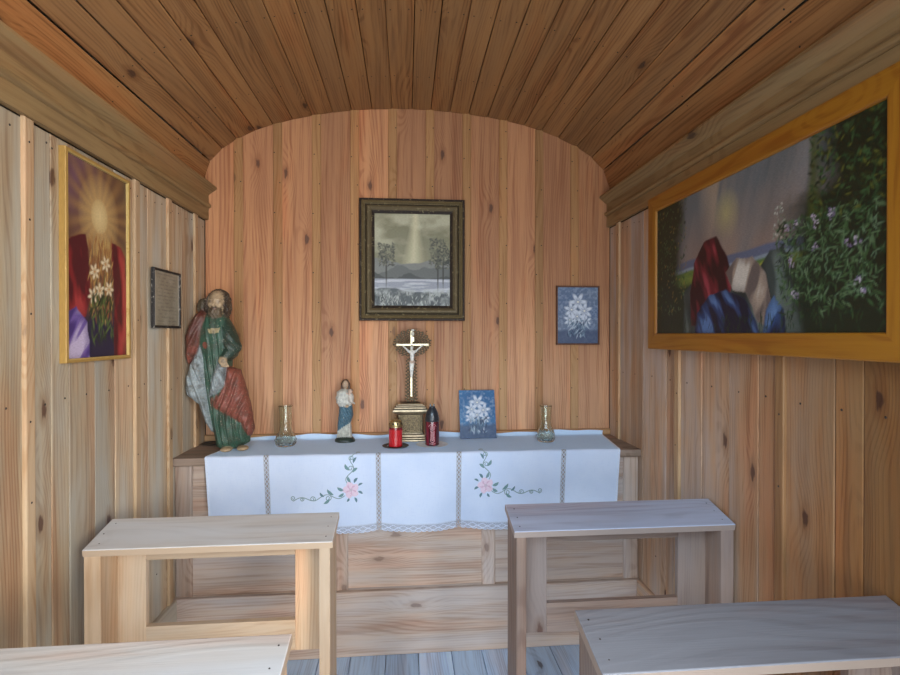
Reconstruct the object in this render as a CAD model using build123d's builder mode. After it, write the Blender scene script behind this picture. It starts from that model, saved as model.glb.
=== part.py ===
from build123d import *

import os
from math import cos, radians, sqrt, tan

# A small timber wayside chapel, open at the front: one vaulted room with an altar and kneeling desks.
# Millimetres, +Z up, +Y from the open front to the altar wall, origin under the middle on the ground.

# Room, walls and floor
room_width = 2300.0
room_depth = 2700.0
wall = 140.0
plinth_height = 120.0
floor_thickness = 30.0
springing = 2432.0
vault_rise = 425.0
vault_board = 20.0

# Open front
front_post_width = 240.0
front_arch_rise = 360.0

# Roof
roof_pitch = 42.0
roof_thickness = 60.0
eaves_overhang = 260.0
verge_overhang = 225.0
plate_width = 118.0
plate_height = 120.0
plate_outer_height = 68.0
ridge_beam_width = 100.0
ridge_beam_depth = 160.0
bargeboard = 25.0
bargeboard_depth = 180.0
ridge_cap_wing = 160.0
ridge_cap_board = 22.0

# Wall lining: cover strips on the altar wall, battens on the side walls, all above a skirting
strip_width = 48.0
strip_proud = 9.0
strip_left_gap = 180.0
strip_right_gap = 214.7
strip_count = 10
batten_width = 38.0
batten_proud = 12.0
left_batten_shares = (0.0507, 0.1596, 0.2652, 0.4837, 0.7019, 0.9204)
right_batten_shares = (0.0493, 0.28, 0.5067, 0.7352, 0.963)
skirting_height = 320.0
skirting_thickness = 22.0

# Cornice along each side wall, from the top of the wall down
cornice_weathering = 44.0
cornice_nose_edge = 10.0
cornice_cove = 33.0
cornice_neck = 46.0
cornice_bead = 27.0
cornice_frieze = 64.0
cornice_board = 20.0
cornice_bead_proud = 34.0
cornice_nose_proud = 64.0

# Altar, wall to wall
altar_height = 990.0
altar_depth = 401.0
altar_board = 37.0
altar_overhang = 25.0
altar_frame = 30.0
altar_corner_stile = 80.0
altar_inner_stile = 70.0
altar_inner_stile_from = 332.0
altar_top_rail = 110.0
altar_panel_recess = 12.0
altar_bevel = 10.0
altar_base_board = 22.0
altar_rail_height = 35.0
altar_rail_proud = 22.0
altar_rail_bevel = 12.0

# Altar cloth
cloth = 4.0
cloth_left_gap = 150.0
cloth_right_gap = 110.0
cloth_back = 40.0
cloth_drop = 383.0

# Kneeling desks, heights above the finished floor
desk_front_height = 890.0
desk_depth = 168.0
desk_rise = 40.0
desk_board = 25.0
desk_aisle_end = 35.0
desk_wall_end = 50.0
desk_aisle_overhang = 9.0
desk_wall_overhang = 3.0
desk_end_setback = 6.0
desk_panel = 22.0
desk_panel_setback = 100.0
desk_aisle_stile = 99.0
desk_window_bottom = 580.0
desk_window_height = 228.0
desk_panel_bottom = 473.0
desk_scribe = 2.0

# Desks: node name, side, aisle end from the middle, wall end from its wall, front edge from the altar wall,
# width of the panel's stile at the wall
desks = (
    ("left_desk_1", -1, 290.0, 74.0, 1182.0, 92.0),
    ("right_desk_1", 1, 330.0, 6.0, 1153.0, 110.0),
    ("left_desk_2", -1, 292.0, 74.0, 1930.0, 92.0),
    ("right_desk_2", 1, 350.0, 6.0, 1892.0, 110.0),
)

# Pictures: middle along the wall and above the floor, outer size, then frame width, thickness and recess
centre_picture_middle = (-11.5, 1999.0)
centre_picture_size = (593.0, 686.0)
centre_picture_frame = (80.0, 45.0, 22.0)
small_right_picture_middle = (199.5, 1689.5)
small_right_picture_size = (257.0, 343.0)
small_right_picture_frame = (12.0, 18.0, 7.0)
right_picture_from_altar_wall = 1200.5
right_picture_below_bead = 55.0
right_picture_size = (1261.0, 706.0)
right_picture_frame = (72.0, 30.0, 12.0)
left_tall_picture_from_batten = 55.0
left_tall_picture_below_cornice = 26.0
left_tall_picture_size = (377.0, 697.0)
left_tall_picture_frame = (16.0, 22.0, 8.0)
left_small_picture_middle = (483.5, 1738.5)
left_small_picture_size = (257.0, 262.0)
left_small_picture_frame = (13.0, 14.0, 6.0)
frame_edge_share = 0.35

# Places worked out from the driving dimensions
half_width = room_width / 2
half_depth = room_depth / 2
outer_x = half_width + wall
outer_y = half_depth + wall
floor_top = plinth_height + floor_thickness
wall_top = floor_top + springing
altar_top_z = floor_top + altar_height
altar_edge_y = half_depth - altar_depth
altar_front_y = altar_edge_y + altar_overhang
skirting_top = floor_top + skirting_height
cloth_top_z = altar_top_z + cloth
cornice_nose_z = wall_top - cornice_weathering - cornice_nose_edge
cornice_neck_z = cornice_nose_z - cornice_cove
cornice_bead_top_z = cornice_neck_z - cornice_neck
cornice_bead_z = cornice_bead_top_z - cornice_bead
cornice_z = cornice_bead_z - cornice_frieze
strip_pitch = (room_width - strip_left_gap - strip_right_gap) / (strip_count - 1)
slope = tan(radians(roof_pitch))
roof_plumb = roof_thickness / cos(radians(roof_pitch))
roof_under_wall = wall_top + plate_outer_height
ridge_under = roof_under_wall + outer_x * slope
eaves_x = outer_x + eaves_overhang
verge_y = outer_y + verge_overhang
post_inner = outer_x - front_post_width


def roof_line(x):
    """Height of the roof's underside at a distance x from the ridge."""
    return ridge_under - abs(x) * slope


def front_plane(y):
    """The upright plane at y, facing the open front, so that an extrusion runs towards the front."""
    return Plane.XZ.offset(-y)


def slab(x_span, y_span, z_span, mode=Mode.ADD):
    """A squared board or block between two levels."""
    with BuildSketch(Plane.XY.offset(z_span[0])) as outline:
        with Locations(((x_span[0] + x_span[1]) / 2, (y_span[0] + y_span[1]) / 2)):
            Rectangle(x_span[1] - x_span[0], y_span[1] - y_span[0])
    extrude(outline.sketch, amount=z_span[1] - z_span[0], mode=mode)


def upright(points, y, thickness, mode=Mode.ADD):
    """A flat upright piece with a straight-sided outline, from y towards the front."""
    with BuildSketch(front_plane(y)) as outline:
        with BuildLine():
            Polyline(*points, close=True)
        make_face()
    extrude(outline.sketch, amount=thickness, mode=mode)


def side_profile(points, x_span):
    """A piece with an upright front-to-back outline, running from one x to another."""
    with BuildSketch(Plane.YZ.offset(x_span[0])) as outline:
        with BuildLine():
            Polyline(*points, close=True)
        make_face()
    extrude(outline.sketch, amount=x_span[1] - x_span[0])


def save(piece, name):
    """Name the piece and write it as its own STEP file."""
    piece.part.label = name
    export_step(piece.part, f"parts/{name}.step")


os.makedirs("parts", exist_ok=True)

# Plinth under the walls and the floor
with BuildPart() as plinth:
    slab((-outer_x, outer_x), (-outer_y, outer_y), (0, plinth_height))
save(plinth, "plinth")

# Floor boards, which run out between the front posts
with BuildPart() as floor_boards:
    slab((-half_width, half_width), (-half_depth, half_depth), (plinth_height, floor_top))
    slab((-post_inner, post_inner), (-outer_y, -half_depth), (plinth_height, floor_top))
save(floor_boards, "floor_boards")

# Side walls with the battens that cover the joints of their lining
for side, name, shares in ((-1, "left_wall", left_batten_shares), (1, "right_wall", right_batten_shares)):
    with BuildPart() as side_wall:
        inner = side * half_width
        outer = side * outer_x
        slab(sorted((inner, outer)), (-half_depth, half_depth), (plinth_height, wall_top))
        for share in shares:
            middle = half_depth - share * room_depth
            foot = altar_top_z if middle > altar_edge_y else skirting_top
            slab(sorted((inner, inner - side * batten_proud)),
                 (middle - batten_width / 2, middle + batten_width / 2),
                 (foot, cornice_z))
    save(side_wall, name)

# Gable outline: wall plates are let in at the eaves and the ridge beam at the top
plate_inner_x = outer_x - plate_width
plate_top = wall_top + plate_height
plate_bevel_x = outer_x - (plate_height - plate_outer_height) / slope
beam_half = ridge_beam_width / 2
beam_bottom = ridge_under - ridge_beam_depth
gable_right = (
    (outer_x, wall_top),
    (plate_inner_x, wall_top),
    (plate_inner_x, plate_top),
    (plate_bevel_x, plate_top),
    (beam_half, roof_line(beam_half)),
    (beam_half, beam_bottom),
)
gable_left = tuple((-x, z) for x, z in reversed(gable_right))

# Altar wall: gable, cover strips up to the vault, and the rail above the altar
with BuildPart() as back_wall:
    upright(((outer_x, plinth_height),) + gable_right + gable_left + ((-outer_x, plinth_height),),
            outer_y, wall)
    with BuildSketch(front_plane(half_depth)) as strips:
        for number in range(strip_count):
            strip_bottom = altar_top_z + altar_rail_height
            strip_height = wall_top + vault_rise - strip_bottom
            strip_x = strip_left_gap - half_width + number * strip_pitch
            with Locations((strip_x, strip_bottom + strip_height / 2)):
                Rectangle(strip_width, strip_height)
        with BuildSketch(front_plane(half_depth), mode=Mode.INTERSECT):
            with Locations((0, wall_top)):
                Ellipse(half_width, vault_rise)
            with Locations((0, wall_top / 2)):
                Rectangle(room_width, wall_top)
    extrude(strips.sketch, amount=strip_proud)
    side_profile(((half_depth, altar_top_z), (half_depth - altar_rail_proud, altar_top_z),
                  (half_depth - altar_rail_proud, altar_top_z + altar_rail_height - altar_rail_bevel),
                  (half_depth - altar_rail_proud + altar_rail_bevel, altar_top_z + altar_rail_height),
                  (half_depth, altar_top_z + altar_rail_height)), (-half_width, half_width))
save(back_wall, "back_wall")

# Front posts each side of the opening
for side, name in ((-1, "left_front_post"), (1, "right_front_post")):
    with BuildPart() as front_post:
        slab(sorted((side * post_inner, side * outer_x)), (-outer_y, -half_depth), (plinth_height, wall_top))
    save(front_post, name)

# Front gable with its arch
with BuildPart() as front_gable:
    upright(gable_right[1:] + gable_left[:-1], -half_depth, wall)
    with BuildSketch(front_plane(-half_depth)) as arch:
        with Locations((0, wall_top)):
            Ellipse(post_inner, front_arch_rise)
    extrude(arch.sketch, amount=wall, mode=Mode.SUBTRACT)
save(front_gable, "front_gable")

# Cornices on the side walls, cut square at the gables
bead_middle = (cornice_bead_z + cornice_bead_top_z) / 2
bead_x = half_width - cornice_bead_proud
board_x = half_width - cornice_board
nose_x = half_width - cornice_nose_proud
for side, name in ((-1, "left_cornice"), (1, "right_cornice")):
    with BuildPart() as cornice:
        with BuildSketch(front_plane(half_depth)) as moulding:
            with BuildLine():
                wall_face = Polyline(
                    (side * nose_x, cornice_nose_z + cornice_nose_edge),
                    (side * half_width, wall_top),
                    (side * half_width, cornice_z),
                    (side * board_x, cornice_z),
                    (side * board_x, cornice_bead_z),
                )
                bead = ThreePointArc(wall_face @ 1, (side * bead_x, bead_middle),
                                     (side * board_x, cornice_bead_top_z))
                neck = Line(bead @ 1, (side * board_x, cornice_neck_z))
                cove = Line(neck @ 1, (side * nose_x, cornice_nose_z))
                Line(cove @ 1, wall_face @ 0)
            make_face()
        extrude(amount=room_depth)
    save(cornice, name)

# Skirtings from the altar to the open front
for side, name in ((-1, "left_skirting"), (1, "right_skirting")):
    with BuildPart() as skirting:
        face = side * (half_width - skirting_thickness)
        slab(sorted((face, side * half_width)), (-half_depth, altar_front_y - altar_base_board),
             (floor_top, skirting_top))
        top_edge = skirting.edges().filter_by(Axis.Y).group_by(Axis.Z)[-1].sort_by(Axis.X)[0 if side > 0 else -1]
        fillet(top_edge, skirting_thickness / 3)
    save(skirting, name)

# Vault of boards between the two gables, standing on the side walls
with BuildPart() as vault_ceiling:
    with BuildSketch(front_plane(half_depth)) as vault_ring:
        with Locations((0, wall_top)):
            Ellipse(half_width + vault_board, vault_rise + vault_board)
            Ellipse(half_width, vault_rise, mode=Mode.SUBTRACT)
        with Locations((0, wall_top - springing / 2)):
            Rectangle(3 * half_width, springing, mode=Mode.SUBTRACT)
    extrude(amount=room_depth)
save(vault_ceiling, "vault_ceiling")

# Roof beams: two wall plates and the ridge beam, all carried out under the verges
with BuildPart() as roof_beams:
    for side in (-1, 1):
        upright(((side * outer_x, wall_top), (side * outer_x, roof_under_wall),
                 (side * plate_bevel_x, plate_top), (side * plate_inner_x, plate_top),
                 (side * plate_inner_x, wall_top)), verge_y, 2 * verge_y)
    upright(((-beam_half, beam_bottom), (beam_half, beam_bottom), (beam_half, roof_line(beam_half)),
             (0, ridge_under), (-beam_half, roof_line(beam_half))), verge_y, 2 * verge_y)
save(roof_beams, "roof_beams")

# Roof slopes, cut plumb at the ridge and the eaves
for side, name in ((-1, "left_roof"), (1, "right_roof")):
    with BuildPart() as roof_slope:
        upright(((0, ridge_under), (side * eaves_x, roof_line(eaves_x)),
                 (side * eaves_x, roof_line(eaves_x) + roof_plumb), (0, ridge_under + roof_plumb)),
                verge_y, 2 * verge_y)
    save(roof_slope, name)

# Ridge cap of two boards
cap_under = ridge_under + roof_plumb
cap_plumb = ridge_cap_board / cos(radians(roof_pitch))
with BuildPart() as ridge_cap:
    upright(((-ridge_cap_wing, cap_under - ridge_cap_wing * slope), (0, cap_under),
             (ridge_cap_wing, cap_under - ridge_cap_wing * slope),
             (ridge_cap_wing, cap_under - ridge_cap_wing * slope + cap_plumb), (0, cap_under + cap_plumb),
             (-ridge_cap_wing, cap_under - ridge_cap_wing * slope + cap_plumb)),
            verge_y + bargeboard, 2 * (verge_y + bargeboard))
save(ridge_cap, "ridge_cap")

# Bargeboards over both verges
barge_top = ridge_under + roof_plumb
with BuildPart() as bargeboards:
    for y in (verge_y + bargeboard, -verge_y):
        upright(((-eaves_x, barge_top - eaves_x * slope), (0, barge_top),
                 (eaves_x, barge_top - eaves_x * slope),
                 (eaves_x, barge_top - eaves_x * slope - bargeboard_depth),
                 (0, barge_top - bargeboard_depth),
                 (-eaves_x, barge_top - eaves_x * slope - bargeboard_depth)), y, bargeboard)
save(bargeboards, "bargeboards")

# Altar base board, in line with the skirtings
with BuildPart() as altar_base:
    slab((-half_width, half_width), (altar_front_y - altar_base_board, altar_front_y),
         (floor_top, skirting_top))
    top_edge = altar_base.edges().filter_by(Axis.X).group_by(Axis.Z)[-1].sort_by(Axis.Y)[0]
    fillet(top_edge, altar_base_board / 3)
save(altar_base, "altar_base_board")

# Altar front: stiles and rails with three recessed panels
panel_bottom = skirting_top
panel_top = altar_top_z - altar_board - altar_top_rail
side_panel_from = altar_inner_stile_from + altar_inner_stile
side_panel_to = half_width - altar_corner_stile
with BuildPart() as altar_front:
    slab((-half_width, half_width), (altar_front_y, altar_front_y + altar_frame),
         (floor_top, altar_top_z - altar_board))
    for x_from, x_to in ((-side_panel_to, -side_panel_from),
                         (-altar_inner_stile_from, altar_inner_stile_from),
                         (side_panel_from, side_panel_to)):
        with BuildSketch(front_plane(altar_front_y + altar_panel_recess)):
            with Locations(((x_from + x_to) / 2, (panel_bottom + panel_top) / 2)):
                Rectangle(x_to - x_from - 2 * altar_bevel, panel_top - panel_bottom - 2 * altar_bevel)
        with BuildSketch(front_plane(altar_front_y)):
            with Locations(((x_from + x_to) / 2, (panel_bottom + panel_top) / 2)):
                Rectangle(x_to - x_from, panel_top - panel_bottom)
        loft(mode=Mode.SUBTRACT)
save(altar_front, "altar_front")

# Altar top with an eased front edge
with BuildPart() as altar_top:
    slab((-half_width, half_width), (altar_edge_y, half_depth), (altar_top_z - altar_board, altar_top_z))
    front_edges = altar_top.edges().filter_by(Axis.X).group_by(Axis.Y)[0]
    fillet(front_edges, altar_board / 8)
save(altar_top, "altar_top")

# Altar cloth: laid on the top and hanging over its front edge
cloth_left = cloth_left_gap - half_width
cloth_right = half_width - cloth_right_gap
with BuildPart() as altar_cloth:
    slab((cloth_left, cloth_right), (altar_edge_y - cloth, half_depth - cloth_back),
         (altar_top_z, cloth_top_z))
    slab((cloth_left, cloth_right), (altar_edge_y - cloth, altar_edge_y),
         (cloth_top_z - cloth_drop, altar_top_z))
save(altar_cloth, "altar_cloth")

# Crucifix pedestal: stepped base, box body and spreading cap
pedestal_x = -24.0
pedestal_y = half_depth - 95.0
pedestal_depth_share = 0.6
pedestal_levels = (
    (176.0, 0.0), (176.0, 16.0), (162.0, 22.0), (162.0, 36.0), (146.0, 46.0),
    (146.0, 146.0), (190.0, 156.0), (200.0, 162.0), (200.0, 172.0), (150.0, 196.0), (96.0, 212.0),
)
pedestal_height = pedestal_levels[-1][1]
with BuildPart() as crucifix_pedestal:
    for (low_width, low), (high_width, high) in zip(pedestal_levels, pedestal_levels[1:]):
        for width, level in ((low_width, low), (high_width, high)):
            with BuildSketch(Plane.XY.offset(cloth_top_z + level)):
                with Locations((pedestal_x, pedestal_y)):
                    Rectangle(width, width * pedestal_depth_share)
        if high > low and (low_width, low) != (high_width, high):
            loft()
save(crucifix_pedestal, "crucifix_pedestal")

# Crucifix: fretted column and cloud of rays behind a plain cross with its figure
cross_offset = 6.0
cross_height = 404.0
cross_bar = 12.0
cross_arm_height = 316.0
cross_span = 168.0
fret_thickness = 8.0
ray_half_width = 108.6
ray_half_height = 66.2
column_foot_width = 74.0
column_top_width = 44.4
column_height = 221.2
# Half outline of the hanging figure: distance from the upright, height above the foot of the cross
corpus_half = (
    (3.0, 126.0), (13.0, 200.0), (11.0, 238.0), (18.0, 276.0), (70.0, 312.0), (70.0, 318.0), (12.0, 296.0),
)
cross_x = pedestal_x + cross_offset
cross_foot = cloth_top_z + pedestal_height
with BuildPart() as crucifix:
    with BuildSketch(front_plane(pedestal_y + fret_thickness)) as fret:
        with BuildLine():
            Polyline((cross_x - column_foot_width / 2, cross_foot),
                     (cross_x + column_foot_width / 2, cross_foot),
                     (cross_x + column_top_width / 2, cross_foot + column_height),
                     (cross_x - column_top_width / 2, cross_foot + column_height), close=True)
        make_face()
        with Locations((cross_x, cross_foot + cross_arm_height)):
            Ellipse(ray_half_width, ray_half_height)
    extrude(fret.sketch, amount=fret_thickness)
    with BuildSketch(front_plane(pedestal_y)) as bars:
        with Locations((cross_x, cross_foot + cross_height / 2)):
            Rectangle(cross_bar, cross_height)
        with Locations((cross_x, cross_foot + cross_arm_height)):
            Rectangle(cross_span, cross_bar)
    extrude(bars.sketch, amount=cross_bar)
    with BuildSketch(front_plane(pedestal_y - cross_bar)) as corpus:
        with BuildLine():
            Polyline(*[(cross_x + away, cross_foot + height) for away, height in corpus_half],
                     *[(cross_x - away, cross_foot + height) for away, height in reversed(corpus_half)],
                     close=True)
        make_face()
    extrude(corpus.sketch, amount=cross_bar)
save(crucifix, "crucifix")

# Carved saint: (height, middle x from the left wall, middle y from the altar wall, half width, half depth)
saint_sections = (
    (0.0, 235.0, 240.0, 84.0, 70.0),
    (90.0, 225.0, 238.0, 100.0, 76.0),
    (300.0, 155.0, 232.0, 138.0, 84.0),
    (470.0, 138.0, 228.0, 122.0, 84.0),
    (600.0, 126.0, 224.0, 110.0, 78.0),
    (660.0, 132.0, 222.0, 70.0, 62.0),
    (740.0, 144.0, 222.0, 56.0, 58.0),
    (820.0, 146.0, 222.0, 26.0, 28.0),
)
with BuildPart() as saint_statue:
    for height, from_wall, from_altar_wall, half_x, half_y in saint_sections:
        with BuildSketch(Plane.XY.offset(cloth_top_z + height)):
            with Locations((from_wall - half_width, half_depth - from_altar_wall)):
                Ellipse(half_x, half_y)
    loft(ruled=True)
save(saint_statue, "saint_statue")

# Standing figure with a child, turned from its base, body and head outlines of (radius, height)
figure_x = -380.0
figure_setback = 101.0
figure_base = ((0.0, 0.0), (46.0, 0.0), (46.0, 14.0), (40.0, 20.0), (38.0, 60.0))
figure_body = ((38.0, 60.0), (40.0, 150.0), (52.0, 210.0), (46.0, 262.0), (16.0, 286.0))
figure_head = ((16.0, 286.0), (27.0, 318.0), (0.0, 352.0))
with BuildPart() as small_statue:
    with BuildSketch(Plane.XZ):
        with BuildLine():
            Polyline(*figure_base)
            Spline(*figure_body)
            Spline(*figure_head)
            Line(figure_head[-1], figure_base[0])
        make_face()
    revolve(axis=Axis.Z)
small_statue.part = small_statue.part.moved(Location((figure_x, half_depth - figure_setback, cloth_top_z)))
save(small_statue, "small_statue")

# Glass vases: node name, side, distances from that side wall and the altar wall, height, bulb and neck
# radius, shoulder height
vase_wall = 3.0
vase_bottom = 8.0
vase_lip = 4.0
vase_foot_share = 0.7
vase_belly_share = 0.45
vase_flare_share = 0.82
vases = (
    ("left_vase", -1, 475.0, 185.0, 210.0, 55.0, 32.0, 80.0),
    ("right_vase", 1, 440.0, 197.0, 195.0, 50.0, 30.0, 88.0),
)
for name, side, from_wall, from_altar_wall, height, bulb, neck, shoulder in vases:
    belly = shoulder * vase_belly_share
    flare = height * vase_flare_share
    with BuildPart() as vase:
        with BuildSketch(Plane.XZ):
            with BuildLine():
                Line((0, 0), (bulb * vase_foot_share, 0))
                Spline((bulb * vase_foot_share, 0), (bulb, belly), (neck, shoulder),
                       tangents=((1, 0.4), (0, 1)))
                Polyline((neck, shoulder), (neck, flare), (neck + vase_lip, height),
                         (neck + vase_lip - vase_wall, height), (neck - vase_wall, flare),
                         (neck - vase_wall, shoulder))
                Spline((neck - vase_wall, shoulder), (bulb - vase_wall, belly),
                       (bulb * vase_foot_share - vase_wall, vase_bottom), tangents=((0, -1), (-1, -0.4)))
                Polyline((bulb * vase_foot_share - vase_wall, vase_bottom), (0, vase_bottom), (0, 0))
            make_face()
        revolve(axis=Axis.Z)
    vase_x = side * (half_width - from_wall)
    vase.part = vase.part.moved(Location((vase_x, half_depth - from_altar_wall, cloth_top_z)))
    save(vase, name)

# Grave candle with a metal lid, turned from its side outline of (radius, height)
candle_x = -102.0
candle_setback = 250.0
candle_side = (
    (0.0, 0.0), (32.4, 0.0), (36.0, 8.0), (36.0, 112.0), (34.9, 116.0), (28.8, 130.0), (10.8, 142.0),
    (0.0, 142.0),
)
dish_height = 6.0
dish_floor = 2.0
light_base = cloth_top_z + dish_floor
with BuildPart() as red_candle:
    with BuildSketch(Plane.XZ):
        with BuildLine():
            Polyline(*candle_side, close=True)
        make_face()
    revolve(axis=Axis.Z)
red_candle.part = red_candle.part.moved(Location((candle_x, half_depth - candle_setback, light_base)))
save(red_candle, "red_candle")

# Tall grave light: body and domed cap turned from (radius, height), and two short prongs
lantern_x = 89.0
lantern_setback = 236.0
lantern_side = ((0.0, 0.0), (33.4, 0.0), (38.0, 10.0), (38.0, 128.0), (34.2, 134.0))
lantern_dome = ((34.2, 134.0), (31.2, 162.0), (16.0, 196.0))
lantern_neck = ((16.0, 196.0), (15.2, 206.0), (0.0, 206.0), (0.0, 0.0))
prong_width = 8.0
prong_depth = 14.0
prong_height = 14.0
prong_pitch = 18.0
with BuildPart() as red_lantern:
    with BuildSketch(Plane.XZ):
        with BuildLine():
            Polyline(*lantern_side)
            Spline(*lantern_dome)
            Polyline(*lantern_neck)
        make_face()
    revolve(axis=Axis.Z)
    with BuildSketch(Plane.XY.offset(lantern_neck[1][1])):
        with GridLocations(prong_pitch, prong_pitch, 2, 1):
            Rectangle(prong_width, prong_depth)
    extrude(amount=prong_height)
red_lantern.part = red_lantern.part.moved(Location((lantern_x, half_depth - lantern_setback, light_base)))
save(red_lantern, "red_lantern")

# Shallow dishes: two under the lights and an empty one at the left end of the altar
dish_foot_share = 0.7
dish_lip = 3.5
empty_dish_gap = 65.0
empty_dish_setback = 82.0
dishes = (
    (candle_x, candle_setback, 69.0, cloth_top_z),
    (lantern_x, lantern_setback, 84.0, cloth_top_z),
    (empty_dish_gap - half_width, empty_dish_setback, 50.0, altar_top_z),
)
with BuildPart() as altar_dishes:
    for x, from_altar_wall, radius, base in dishes:
        for level, foot, rim, mode in ((0, radius * dish_foot_share, radius, Mode.ADD),
                                       (dish_floor, radius * dish_foot_share - dish_floor, radius - dish_lip,
                                        Mode.SUBTRACT)):
            for height, size in ((level, foot), (dish_height, rim)):
                with BuildSketch(Plane.XY.offset(base + height)):
                    with Locations((x, half_depth - from_altar_wall)):
                        Circle(size)
            loft(mode=mode)
save(altar_dishes, "altar_dishes")


def framed_picture(plane, middle, size, frame_width, thickness, recess):
    """A moulded frame with its picture panel set back inside it, hung against the plane."""
    with BuildPart() as picture:
        with BuildSketch(plane) as back_board:
            with Locations(middle):
                Rectangle(*size)
        extrude(back_board.sketch, amount=thickness)
        with BuildSketch(plane.offset(thickness - recess)) as opening:
            with Locations(middle):
                Rectangle(size[0] - 2 * frame_width, size[1] - 2 * frame_width)
        extrude(opening.sketch, amount=recess, mode=Mode.SUBTRACT)
        face = picture.faces().sort_by(Axis(plane.origin, plane.z_dir))[-1]
        chamfer(face.outer_wire().edges(), min(frame_width, recess) * frame_edge_share)
    return picture


def left_wall_plane(off):
    """Plane on the left wall's inner face, moved off it, seen from inside with local x towards the altar."""
    return Plane(origin=(off - half_width, 0, 0), x_dir=(0, 1, 0), z_dir=(1, 0, 0))


def right_wall_plane(off):
    """Plane on the right wall's inner face, moved off it, with local x towards the open front."""
    return Plane(origin=(half_width - off, 0, 0), x_dir=(0, -1, 0), z_dir=(-1, 0, 0))


# Pictures: node name, plane that it hangs against, middle along that plane, middle height, size and frame
left_tall_picture_y = (half_depth - left_batten_shares[2] * room_depth - batten_width / 2
                       - left_tall_picture_from_batten - left_tall_picture_size[0] / 2)
left_tall_picture_z = cornice_z - left_tall_picture_below_cornice - left_tall_picture_size[1] / 2
right_picture_z = cornice_bead_z - right_picture_below_bead - right_picture_size[1] / 2
pictures = (
    ("centre_picture", front_plane(half_depth - strip_proud), centre_picture_middle[0],
     floor_top + centre_picture_middle[1], centre_picture_size, centre_picture_frame),
    ("small_right_picture", front_plane(half_depth - strip_proud), half_width - small_right_picture_middle[0],
     floor_top + small_right_picture_middle[1], small_right_picture_size, small_right_picture_frame),
    ("right_picture", right_wall_plane(cornice_board), right_picture_from_altar_wall - half_depth,
     right_picture_z, right_picture_size, right_picture_frame),
    ("left_tall_picture", left_wall_plane(0), left_tall_picture_y,
     left_tall_picture_z, left_tall_picture_size, left_tall_picture_frame),
    ("left_small_picture", left_wall_plane(batten_proud), half_depth - left_small_picture_middle[0],
     floor_top + left_small_picture_middle[1], left_small_picture_size, left_small_picture_frame),
)
for name, plane, along, height, size, frame in pictures:
    save(framed_picture(plane, (along, height), size, *frame), name)

# Small unframed picture that leans on the cover strips behind the altar
leaning_width = 204.0
leaning_height = 272.0
leaning_board = 12.0
leaning_foot = 90.0
leaning_x = 355.0
lean_sine = (leaning_foot - strip_proud) / leaning_height
lean_cosine = sqrt(1 - lean_sine ** 2)
lean_plane = Plane(origin=(leaning_x, half_depth - leaning_foot, cloth_top_z), x_dir=(1, 0, 0),
                   z_dir=(0, -lean_cosine, lean_sine))
with BuildPart() as leaning_picture:
    with BuildSketch(lean_plane):
        with Locations((0, leaning_height / 2)):
            Rectangle(leaning_width, leaning_height)
    extrude(amount=leaning_board)
save(leaning_picture, "leaning_picture")

# Kneeling desks: a sloping top on two end boards, with a windowed panel between them
underside_front = floor_top + desk_front_height - desk_board
desk_slope = desk_rise / desk_depth


def desk_underside(setback):
    """Height of the sloping top's underside at a distance behind its front edge."""
    return underside_front + setback * desk_slope


def desk_end_points(front):
    """Outline of an end board below the sloping top."""
    near = front + desk_end_setback
    far = front + desk_depth - desk_end_setback
    return ((near, floor_top), (far, floor_top), (far, desk_underside(desk_depth - desk_end_setback)),
            (near, desk_underside(desk_end_setback)))


for name, side, from_middle, from_wall, from_altar_wall, wall_stile in desks:
    aisle_x = side * from_middle
    wall_x = side * (half_width - from_wall)
    front = half_depth - from_altar_wall
    with BuildPart() as top:
        side_profile(((front, underside_front), (front, underside_front + desk_board),
                      (front + desk_depth, underside_front + desk_board + desk_rise),
                      (front + desk_depth, underside_front + desk_rise)), sorted((aisle_x, wall_x)))
        front_edges = top.edges().filter_by(Axis.X).group_by(Axis.Y)[0]
        fillet(front_edges, desk_board / 3)
    save(top, f"{name}_top")

    aisle_outer = aisle_x + side * desk_aisle_overhang
    aisle_inner = aisle_outer + side * desk_aisle_end
    wall_outer = wall_x - side * desk_wall_overhang
    wall_inner = wall_outer - side * desk_wall_end
    panel_front = desk_panel_setback
    panel_back = desk_panel_setback + desk_panel
    window = (aisle_inner + side * desk_aisle_stile, wall_inner - side * wall_stile)
    with BuildPart() as frame:
        side_profile(desk_end_points(front), sorted((aisle_outer, aisle_inner)))
        side_profile(desk_end_points(front), sorted((wall_inner, wall_outer)))
        side_profile(((front + panel_front, floor_top + desk_panel_bottom),
                      (front + panel_back, floor_top + desk_panel_bottom),
                      (front + panel_back, desk_underside(panel_back)),
                      (front + panel_front, desk_underside(panel_front))),
                     sorted((aisle_inner, wall_inner)))
        slab(sorted(window), (front + panel_front, front + panel_back),
             (floor_top + desk_window_bottom, floor_top + desk_window_bottom + desk_window_height),
             mode=Mode.SUBTRACT)
        slab(sorted((side * (half_width - skirting_thickness - desk_scribe), side * half_width)),
             (front, front + desk_depth), (floor_top, skirting_top + desk_scribe), mode=Mode.SUBTRACT)
    save(frame, f"{name}_frame")
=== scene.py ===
import math
from functools import partialmethod, reduce

import bpy
import numpy as np
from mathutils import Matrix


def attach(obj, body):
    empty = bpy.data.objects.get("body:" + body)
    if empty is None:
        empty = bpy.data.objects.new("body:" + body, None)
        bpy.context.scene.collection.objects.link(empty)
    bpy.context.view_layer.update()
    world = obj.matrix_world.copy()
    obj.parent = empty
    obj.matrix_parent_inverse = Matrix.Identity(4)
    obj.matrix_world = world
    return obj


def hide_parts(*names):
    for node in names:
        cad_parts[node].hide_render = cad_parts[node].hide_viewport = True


# A small timber chapel, open at the front, with its lining boards, altar and furnishings. Metres.

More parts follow.
